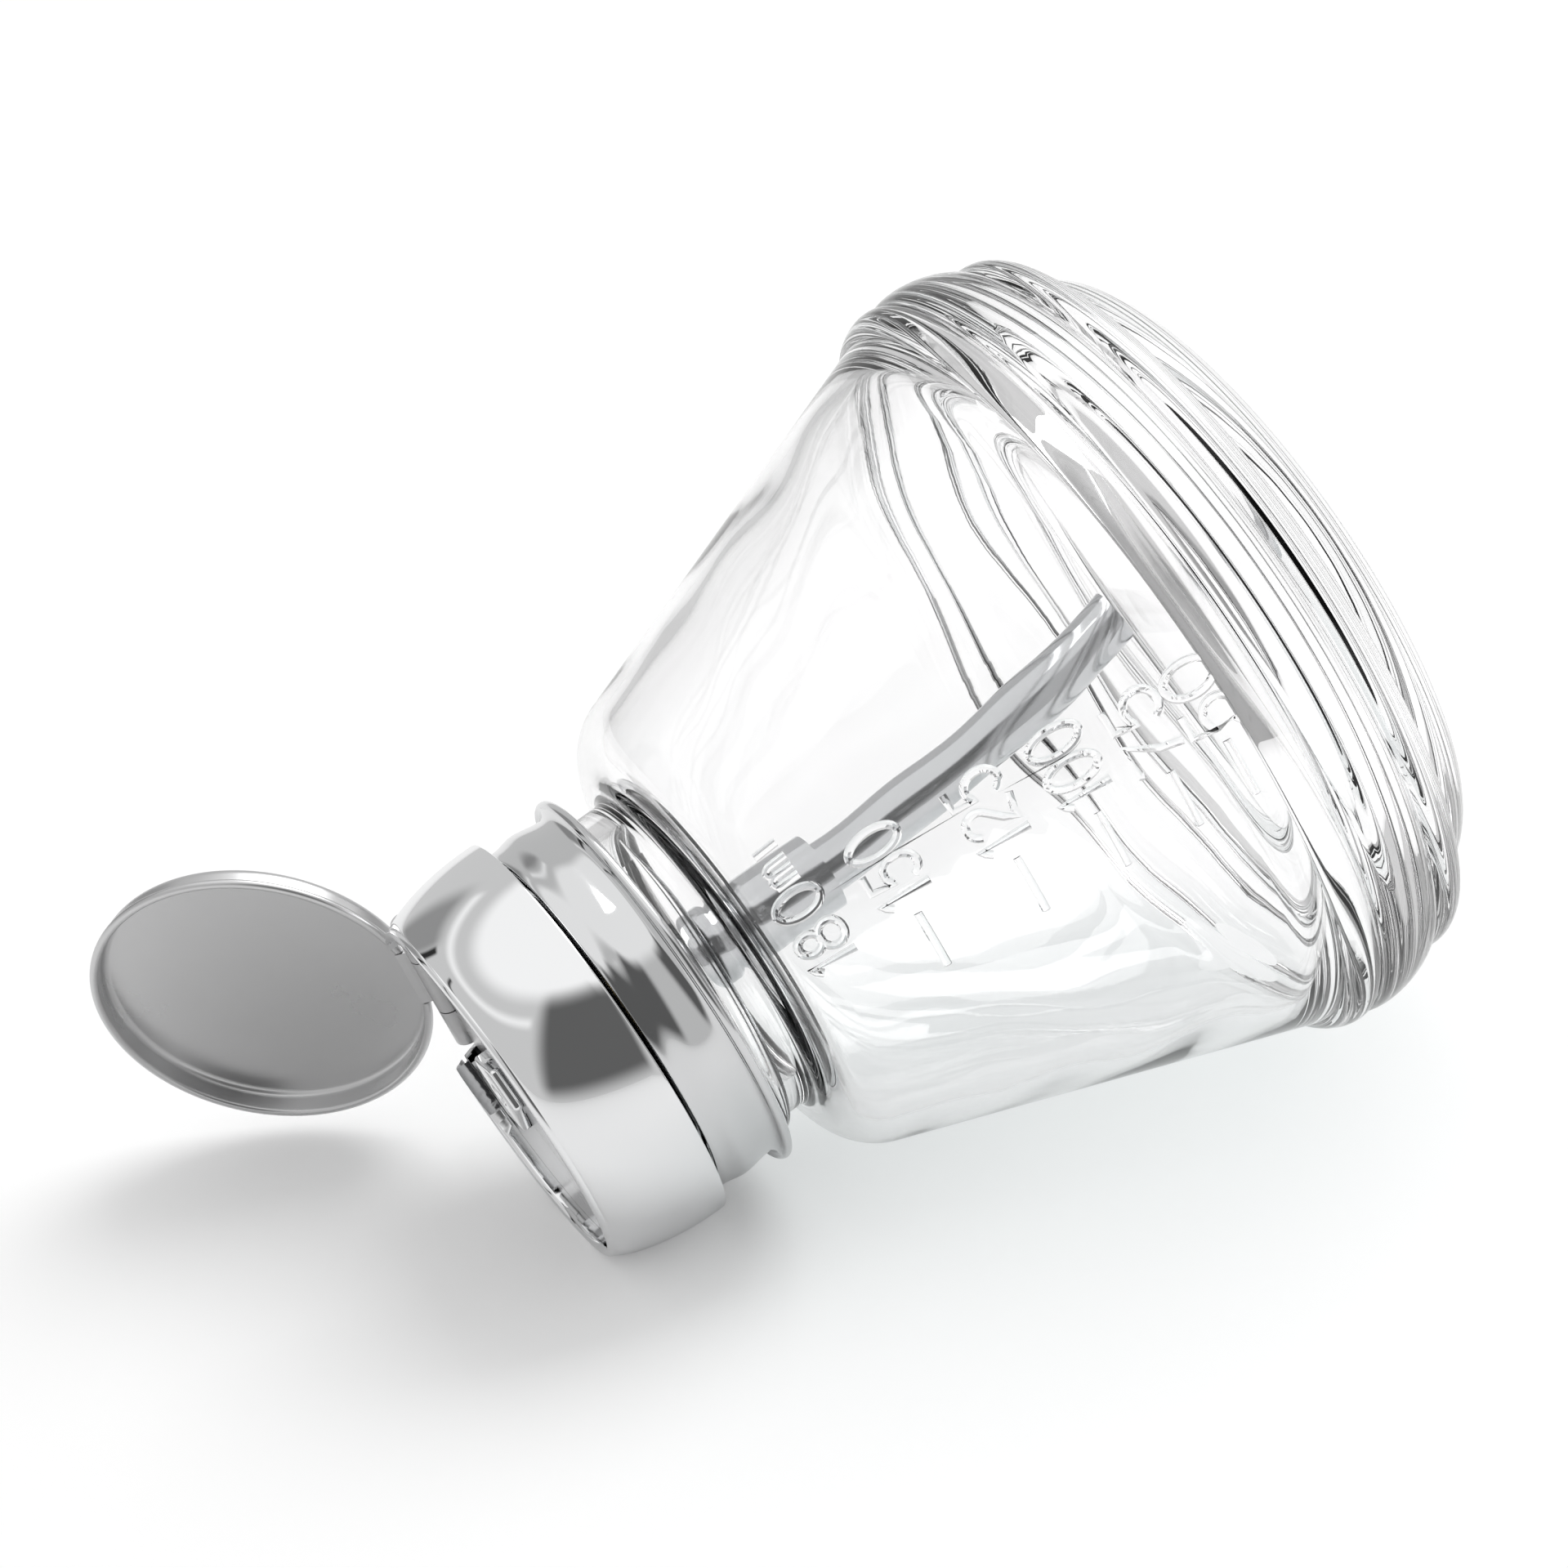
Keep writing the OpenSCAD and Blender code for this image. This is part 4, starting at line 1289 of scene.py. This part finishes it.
@dataclass
class Head:
    """Chromed drum, the ring and plate of its dish, and the hexagonal outlet."""

    hinge: Hinge
    low_z: float = 79.9
    skirt: float = 1.0
    outer_r: float = 21.1
    bow: float = 1.6
    side_end: float = 88.0
    sheet: float = 0.4
    ridge_r: float = 18.3
    ridge_half: float = 0.6
    ridge_z: float = 91.15
    hem: float = 1.0
    ledge_r: float = 15.5
    plate_low_z: float = 88.2
    rim_reach: float = 17.35
    rim_rise: float = 0.95
    relief_gap: float = 0.15
    relief_end: float = 60.0
    relief_steps: int = 10
    relief_over: float = 3.0
    hex_flats: float = 7.53
    hex_turn: float = -17.6
    hex_low_z: float = 89.1
    hex_top_z: float = 91.49
    hex_edge: float = 0.32
    outlet_r: float = 1.1
    shank_r: float = 2.65
    shank_bore_r: float = 1.8
    outlet_cap: float = 0.7
    outlet_flare: float = 0.4
    overlap: float = 0.2
    face_gap: float = 0.02
    lining_wall: float = 0.5
    beyond: float = 5.0
    below: float = 1.0

    def side(self, inset: float, start: float, end: float, steps: int = 30) -> Outline:
        """Points along the bowed side between two angles.

        Args:
            inset: Distance in from its outside, in mm.
            start: Angle of the first point, in degrees.
            end: Angle of the last point, in degrees.
            steps: Number of chords.

        Returns:
            The points as (radius, height) pairs.
        """
        out_r = self.ridge_r + self.ridge_half
        side_z = self.low_z + self.skirt
        points = []
        for i in range(steps + 1):
            turn = math.radians(start + (end - start) * i / steps)
            bowed = (self.outer_r - out_r) * max(math.cos(turn), 0.0) ** self.bow
            points.append((out_r - inset + bowed, side_z + (self.ridge_z - side_z) * math.sin(turn)))
        return points

    def drum(self) -> bpy.types.Object:
        """Drum with its ridge, before the hinge slot is cut.

        Returns:
            The drum as one object.
        """
        side_z = self.low_z + self.skirt
        hem_z = self.ridge_z - self.hem
        hem_turn = math.degrees(math.asin((hem_z - side_z) / (self.ridge_z - side_z)))
        lip = self.sheet / 2
        outline = (
            arc(self.outer_r - lip, self.low_z + lip, lip, 180, 360, 8)
            + self.side(0.0, 0, self.side_end)
            + arc(self.ridge_r, self.ridge_z, self.ridge_half, 0, 180, 16)
            + [(self.ridge_r - self.ridge_half, hem_z)]
            + self.side(self.sheet, hem_turn, 0)
        )
        return turned("head_drum", outline, steps=224, closed=True)

    def slot_tools(self) -> list[bpy.types.Object]:
        """Cutters for the hinge slot.

        Returns:
            The two cutters.
        """
        half = self.hinge.slot_half
        far_y = self.outer_r + self.beyond
        far_z = self.ridge_z + self.beyond
        return [
            block("slot_upper", (-half, self.hinge.slot_y, self.plate_low_z), (half, far_y, far_z)),
            block("slot_lower", (-half, self.hinge.slot_low_y, self.hinge.slot_low_z), (half, far_y, far_z)),
        ]

    def relief_tools(self) -> list[bpy.types.Object]:
        """Cutters for the room that the rim of the lid swings through.

        Returns:
            The cutters, one on each side of the hinge.
        """
        first = math.asin(self.hinge.width / 2 / self.rim_reach)
        last = math.radians(self.relief_end)
        rise = self.ridge_z + self.ridge_half - self.hinge.z
        reach = self.rim_rise ** 2 - rise ** 2
        low_z = self.ridge_z - self.hem - self.below
        tools = []
        for side in (-1, 1):
            line = []
            for i in range(self.relief_steps + 1):
                turn = first + (last - first) * i / self.relief_steps
                away = math.sqrt((self.hinge.y - self.rim_reach * math.cos(turn)) ** 2 + reach)
                y = self.hinge.y - away + self.relief_gap
                line.append((side * self.rim_reach * math.sin(turn), y, low_z))
            shape = line + [(line[-1][0], 0.0, low_z), (line[0][0], 0.0, low_z)]
            tools.append(drawn("relief", shape, (0.0, 0.0, rise + self.relief_over)))
        return tools

    def ring(self) -> bpy.types.Object:
        """Ring that lines the dish and carries the plate on its ledge.

        Returns:
            The ring as one object.
        """
        in_r = self.ridge_r - self.ridge_half
        low_z = self.plate_low_z - self.lining_wall
        top_z = self.ridge_z - self.hem - self.face_gap
        outline = [
            (self.ledge_r, low_z), (in_r + self.sheet, low_z), (in_r + self.sheet, top_z),
            (in_r, top_z), (in_r, self.plate_low_z), (self.ledge_r, self.plate_low_z),
        ]
        return turned("dish_lining", outline, steps=224, closed=True)

    def outlet(self) -> bpy.types.Object:
        """Hexagonal outlet with its shank and bore.

        Returns:
            The outlet as one object.
        """
        corner = self.hex_flats / math.sqrt(3)
        turns = [math.radians(self.hex_turn + 60 * i) for i in range(6)]
        hexagon = [(corner * math.cos(t), corner * math.sin(t), self.hex_low_z) for t in turns]
        piece = drawn("outlet_nut", hexagon, (0.0, 0.0, self.hex_top_z - self.hex_low_z))
        bevelled(piece, self.hex_edge, 4)
        steps = 64
        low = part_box("outlet_fitting")[0].z / MM
        bore_z = self.hex_top_z - self.outlet_cap
        shank_z = bore_z - self.overlap
        shank = [(0.0, low), (self.shank_r, low), (self.shank_r, shank_z), (0.0, shank_z)]
        combine(piece, [turned("shank", shank, steps)], "UNION")
        mouth_z = self.hex_top_z + self.overlap
        way = [
            (0.0, low - self.below), (self.shank_bore_r, low - self.below), (self.shank_bore_r, bore_z),
            (self.outlet_r, bore_z), (self.outlet_r, self.hex_top_z - self.overlap),
            (self.outlet_r + self.outlet_flare, mouth_z), (0.0, mouth_z),
        ]
        combine(piece, [turned("way", way, steps)], "DIFFERENCE")
        return piece

    def build(self, finishes: Finishes) -> None:
        """Build the drum, the ring and the outlet, and dress the other pieces of the head.

        Args:
            finishes: The finishes of the bottle.
        """
        drum = self.drum()
        combine(drum, self.slot_tools() + self.relief_tools(), "DIFFERENCE")
        shade(drum, 40)
        fit(drum, Body.HEAD, finishes.chrome, ("head_shell",))
        ring = self.ring()
        combine(ring, self.slot_tools(), "DIFFERENCE")
        shade(ring, 40)
        fit(ring, Body.HEAD, finishes.chrome, ("dish_ring",))
        outlet = self.outlet()
        shade(outlet, 30)
        fit(outlet, Body.HEAD, finishes.chrome, ("outlet_fitting",))
        dress("dish_plate", finishes.satin)
        dress("head_hub", finishes.brass)
        dress("outlet_washer", finishes.rubber)
        dress("hinge_pin", finishes.steel)


@dataclass
class Lid:
    """Round satin pressing with a rolled rim and a strap that curls round the pin."""

    hinge: Hinge
    rim_r: float = 17.35
    sheet: float = 0.45
    roll: float = 0.45
    rim_z: float = 89.1
    depth: float = 2.55
    crown: float = 0.4
    edge: float = 1.2
    roll_start: float = 205.0
    opened: float = 127.6
    strap_root: float = 0.3
    strap_curl: float = 285.0
    web_gap: float = 0.05
    beyond: float = 1.0

    def crown_z(self, r: float) -> float:
        """Height of the inner face of the crowned top above the rim, at a radius."""
        flat_r = self.rim_r - self.roll - self.edge
        return self.depth + self.crown * (1 - (r / flat_r) ** 2)

    def outline(self) -> Outline:
        """Closed outline of the closed lid, with its rim at its own height.

        Returns:
            The points as (radius, height) pairs, in mm.
        """
        wall_r = self.rim_r - self.roll
        flat_r = wall_r - self.edge
        edge_z = self.depth + self.sheet - self.edge
        steps = 12
        inner = [(flat_r * i / steps, self.crown_z(flat_r * i / steps)) for i in range(steps)]
        outer = [(r, z + self.sheet) for r, z in reversed(inner)]
        points = (
            arc(wall_r, self.roll, self.roll, self.roll_start, 450, 18)
            + arc(flat_r, edge_z, self.edge, 0, 90, 12)
            + outer
            + inner
            + arc(flat_r, edge_z, self.edge - self.sheet, 90, 0, 10)
            + [(wall_r - self.sheet, self.roll)]
        )
        return [(r, z + self.rim_z) for r, z in points]

    def strap_section(self) -> list[tuple[float, float]]:
        """Closed section of the strap, as (distance along Y, height) pairs of the closed lid.

        Returns:
            The corners of the section.
        """
        middle_r = self.hinge.knuckle_r - self.sheet / 2
        start_y = self.rim_r - self.roll * 2 - self.strap_root
        low = self.rim_z + self.sheet / 2
        top = self.hinge.z + middle_r
        rise_steps = 8
        curl_steps = 30
        path = []
        for i in range(rise_steps + 1):
            share = i / rise_steps
            path.append((start_y + (self.hinge.y - start_y) * share, ease(low, top, share)))
        curl = arc(self.hinge.y, self.hinge.z, middle_r, 90, 90 - self.strap_curl, curl_steps)
        path += curl[1:]
        left, right = [], []
        for i, (y, z) in enumerate(path):
            before = path[max(i - 1, 0)]
            after = path[min(i + 1, len(path) - 1)]
            along = Vector((after[0] - before[0], after[1] - before[1])).normalized()
            left.append((y - along.y * self.sheet / 2, z + along.x * self.sheet / 2))
            right.append((y + along.y * self.sheet / 2, z - along.x * self.sheet / 2))
        return left + right[::-1]

    def build(self, finishes: Finishes) -> None:
        """Build the lid in one piece and swing it open.

        Args:
            finishes: The finishes of the bottle.
        """
        piece = turned("lid_cap", self.outline(), steps=224, closed=True)
        half = self.hinge.strap / 2
        gap = half + self.hinge.play
        notch_low = (-gap, self.rim_r / 2, self.rim_z - self.beyond)
        notch_high = (gap, self.rim_r + self.beyond, self.rim_z + 2 * self.roll)
        combine(piece, [block("notch", notch_low, notch_high)], "DIFFERENCE")
        section = [(-half, y, z) for y, z in self.strap_section()]
        strap = drawn("strap", section, (2 * half, 0.0, 0.0))
        wall_y = self.rim_r - self.roll - self.sheet
        web_low = (-half, wall_y, self.rim_z + self.web_gap)
        web_high = (half, wall_y + self.sheet, self.rim_z + 3 * self.roll)
        combine(piece, [strap, block("web", web_low, web_high)], "UNION")
        pivot = Vector((0.0, self.hinge.y, self.hinge.z)) * MM
        swing = Matrix.Rotation(math.radians(-self.opened), 4, "X")
        piece.data.transform(Matrix.Translation(pivot) @ swing @ Matrix.Translation(-pivot))
        shade(piece, 40)
        fit(piece, Body.LID, finishes.satin, ("lid",))


@dataclass
class Pump:
    """The pump's metal pieces and seals, which keep their CAD shapes."""

    steel: tuple[str, ...] = (
        "pump_barrel", "dip_tube", "inlet_ball", "return_spring", "plunger_stem", "outlet_ball",
    )
    brass: tuple[str, ...] = ("guide_bush", "inlet_seat", "ball_cage", "piston")
    rubber: tuple[str, ...] = ("neck_gasket", "stem_seal", "piston_ring")

    def build(self, finishes: Finishes) -> None:
        """Dress every piece of the pump.

        Args:
            finishes: The finishes of the bottle.
        """
        for nodes, material in (
            (self.steel, finishes.steel),
            (self.brass, finishes.brass),
            (self.rubber, finishes.rubber),
        ):
            for node in nodes:
                dress(node, material)


# Studio


@dataclass(frozen=True)
class Patch:
    """Patch of the studio's surroundings, placed by angles in degrees; half a turn wide is all round."""

    azimuth: float
    elevation: float
    half_width: float
    half_height: float
    level: float
    edge: float = 4.0


@dataclass
class Studio:
    """Camera, pale floor, soft lamps and the surroundings that metal and glass show."""

    eye: Triple = (311.506, -340.933, 137.345)
    right: Triple = (-0.32982861, -0.48980807, -0.8070323)
    up: Triple = (0.68544787, 0.46356562, -0.56148743)
    forward: Triple = (-0.64913351, 0.73837319, -0.1828407)
    lens: float = 111.1
    sensor: float = 36.0
    down: Triple = (-0.945, -0.14, 0.295)
    floor_depth: float = 44.7
    floor_half: float = 1500.0
    floor_level: float = 0.9
    floor_glow: float = 0.13
    ambient: float = 0.72
    lamp_watts: float = 3.0
    lamp_size: float = 0.6
    lamp_away: float = 0.8
    lamp_way: Triple = (0.25, 0.35, 0.85)
    wall: float = 0.62
    patches: tuple[Patch, ...] = (
        Patch(-90.0, 90.0, 180.0, 38.0, 1.0, 5.0),
        Patch(-100.0, 40.0, 60.0, 2.0, 0.95, 2.5),
        Patch(168.0, 27.0, 26.0, 24.0, 0.12, 6.0),
        Patch(-50.0, 16.0, 13.0, 17.0, 0.3, 5.0),
        Patch(-66.0, 14.0, 2.5, 17.0, 0.03, 1.5),
        Patch(-90.0, 18.0, 1.5, 14.0, 0.05, 1.5),
        Patch(75.0, 15.0, 35.0, 20.0, 0.35),
    )

    def axes(self) -> tuple[Vector, Vector, Vector]:
        """Right, forward and upward directions of the floor as the camera stands to it.

        Returns:
            The three directions, in that order.
        """
        above = -Vector(self.down).normalized()
        right = Vector(self.right)
        right = (right - above * right.dot(above)).normalized()
        return right, above.cross(right).normalized(), above

    def camera(self) -> None:
        """Create the camera of the photograph."""
        data = bpy.data.cameras.new("camera")
        data.lens = self.lens
        data.sensor_width = self.sensor
        data.clip_start = 0.01
        data.clip_end = 20.0
        camera = bpy.data.objects.new("camera", data)
        bpy.context.scene.collection.objects.link(camera)
        turn = Matrix((self.right, self.up, tuple(-v for v in self.forward))).transposed()
        camera.matrix_world = Matrix.Translation(Vector(self.eye) * MM) @ turn.to_4x4()
        bpy.context.scene.camera = camera

    def floor(self) -> None:
        """Create the pale floor, which is clear from below."""
        right, ahead, above = self.axes()
        middle = -above * self.floor_depth
        square = [(-1, -1), (1, -1), (1, 1), (-1, 1)]
        points = [(middle + (right * x + ahead * y) * self.floor_half) * MM for x, y in square]
        mesh = bpy.data.meshes.new("floor")
        mesh.from_pydata(points, [], [(0, 1, 2, 3)])
        piece = new_object("floor", mesh)
        if mesh.polygons[0].normal.dot(above) < 0:
            mesh.flip_normals()
        piece.data.materials.append(self.floor_look())

    def floor_look(self) -> bpy.types.Material:
        """Pale material that reads white to the camera and still shows shadows.

        Returns:
            The material.
        """
        material = bpy.data.materials.new("pale_floor")
        material.use_nodes = True
        tree = material.node_tree
        tree.nodes.remove(tree.nodes["Principled BSDF"])
        path = add(tree, "ShaderNodeLightPath")
        seen = add(
            tree,
            "ShaderNodeMath",
            {0: path.outputs["Is Camera Ray"], 1: path.outputs["Is Transmission Ray"]},
            operation="MAXIMUM",
        )
        glow = add(
            tree, "ShaderNodeMath", {0: seen.outputs["Value"], 1: self.floor_glow}, operation="MULTIPLY"
        )
        plain = add(tree, "ShaderNodeBsdfDiffuse", {"Color": (*[self.floor_level] * 3, 1.0)})
        shine = add(
            tree, "ShaderNodeEmission", {"Color": (1.0, 1.0, 1.0, 1.0), "Strength": glow.outputs["Value"]}
        )
        both = add(tree, "ShaderNodeAddShader", {0: plain.outputs["BSDF"], 1: shine.outputs["Emission"]})
        side = add(tree, "ShaderNodeNewGeometry")
        clear = add(tree, "ShaderNodeBsdfTransparent")
        mixed = add(
            tree,
            "ShaderNodeMixShader",
            {0: side.outputs["Backfacing"], 1: both.outputs["Shader"], 2: clear.outputs["BSDF"]},
        )
        tree.links.new(mixed.outputs["Shader"], tree.nodes["Material Output"].inputs["Surface"])
        return material

    def lamp(self) -> None:
        """Create the soft lamp above the floor."""
        data = bpy.data.lights.new("overhead", "AREA")
        data.shape = "RECTANGLE"
        data.size = self.lamp_size
        data.size_y = self.lamp_size
        data.energy = self.lamp_watts
        lamp = bpy.data.objects.new("overhead", data)
        bpy.context.scene.collection.objects.link(lamp)
        way = sum((axis * share for axis, share in zip(self.axes(), self.lamp_way)), Vector())
        place = way.normalized() * self.lamp_away
        lamp.matrix_world = Matrix.Translation(place) @ place.to_track_quat("Z", "Y").to_matrix().to_4x4()

    def surroundings(self) -> None:
        """Create the world: even light, and patches of light and dark for metal and glass."""
        world = bpy.data.worlds.new("studio")
        world.use_nodes = True
        bpy.context.scene.world = world
        tree = world.node_tree
        place = add(tree, "ShaderNodeTexCoord")
        parts = []
        for axis in self.axes():
            dot = add(
                tree,
                "ShaderNodeVectorMath",
                {0: place.outputs["Generated"], 1: tuple(axis)},
                operation="DOT_PRODUCT",
            )
            parts.append(dot.outputs["Value"])
        turn = add(tree, "ShaderNodeMath", {0: parts[0], 1: parts[1]}, operation="ARCTAN2")
        rise = add(tree, "ShaderNodeMath", {0: parts[2]}, operation="ARCSINE")
        level: float | bpy.types.NodeSocket = self.wall
        for patch in self.patches:
            mask = self.patch_mask(tree, turn.outputs["Value"], rise.outputs["Value"], patch)
            mix = add(
                tree, "ShaderNodeMix", {"Factor": mask, "A": level, "B": patch.level}, data_type="FLOAT"
            )
            level = mix.outputs["Result"]
        path = add(tree, "ShaderNodeLightPath")
        shown = add(
            tree,
            "ShaderNodeMath",
            {0: path.outputs["Is Glossy Ray"], 1: path.outputs["Is Transmission Ray"]},
            operation="MAXIMUM",
        )
        mirrored = add(
            tree,
            "ShaderNodeMix",
            {"Factor": shown.outputs["Value"], "A": self.ambient, "B": level},
            data_type="FLOAT",
        )
        final = add(
            tree,
            "ShaderNodeMix",
            {"Factor": path.outputs["Is Camera Ray"], "A": mirrored.outputs["Result"], "B": 1.0},
            data_type="FLOAT",
        )
        tree.links.new(final.outputs["Result"], tree.nodes["Background"].inputs["Strength"])
        tree.nodes["Background"].inputs["Color"].default_value = (1.0, 1.0, 1.0, 1.0)

    def patch_mask(
        self,
        tree: bpy.types.NodeTree,
        turn: bpy.types.NodeSocket,
        rise: bpy.types.NodeSocket,
        patch: Patch,
    ) -> bpy.types.NodeSocket:
        """Soft mask of one patch.

        Args:
            tree: The world's tree.
            turn: Compass angle of the direction, in radians.
            rise: Height of the direction, in radians.
            patch: The patch.

        Returns:
            The mask, from 0 outside to 1 inside.
        """
        lift = add(tree, "ShaderNodeMath", {0: rise, 1: math.radians(patch.elevation)}, operation="SUBTRACT")
        upright = self.fading(tree, lift.outputs["Value"], patch.half_height, patch.edge)
        if patch.half_width >= HALF_TURN:
            return upright
        away = add(tree, "ShaderNodeMath", {0: turn, 1: math.radians(patch.azimuth)}, operation="SUBTRACT")
        wrapped = add(
            tree, "ShaderNodeMath", {0: away.outputs["Value"], 1: -math.pi, 2: math.pi}, operation="WRAP"
        )
        sideways = self.fading(tree, wrapped.outputs["Value"], patch.half_width, patch.edge)
        both = add(tree, "ShaderNodeMath", {0: sideways, 1: upright}, operation="MULTIPLY")
        return both.outputs["Value"]

    def fading(
        self, tree: bpy.types.NodeTree, angle: bpy.types.NodeSocket, half: float, edge: float
    ) -> bpy.types.NodeSocket:
        """Mask that fades out on both sides of an angle.

        Args:
            tree: The world's tree.
            angle: Angle from the middle, in radians.
            half: Half the width of the mask, in degrees.
            edge: Half the width of its soft edge, in degrees.

        Returns:
            The mask, from 0 outside to 1 inside.
        """
        size = add(tree, "ShaderNodeMath", {0: angle}, operation="ABSOLUTE")
        fade = add(
            tree,
            "ShaderNodeMapRange",
            {"Value": size.outputs["Value"], "From Min": math.radians(half - edge),
             "From Max": math.radians(half + edge), "To Min": 1.0, "To Max": 0.0},
            interpolation_type="SMOOTHSTEP",
        )
        return fade.outputs["Result"]

    def build(self) -> None:
        """Build the whole studio."""
        self.camera()
        self.floor()
        self.lamp()
        self.surroundings()
        bpy.context.scene.view_settings.view_transform = "Standard"
        LOG.info("studio built")


def corners(box: tuple[Vector, Vector]) -> list[list[float]]:
    """Two corners as plain lists."""
    return [list(corner) for corner in box]


def main() -> None:
    """Build every sub-assembly in order, then the studio."""
    logging.basicConfig(level=logging.INFO, format="%(name)s: %(message)s")
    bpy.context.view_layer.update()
    finishes = Finishes.build()
    hinge = Hinge()
    GlassBottle().build(finishes)
    Pump().build(finishes)
    Collar().build(finishes)
    Head(hinge).build(finishes)
    Lid(hinge).build(finishes)
    Studio().build()


if __name__ == "__main__":
    main()
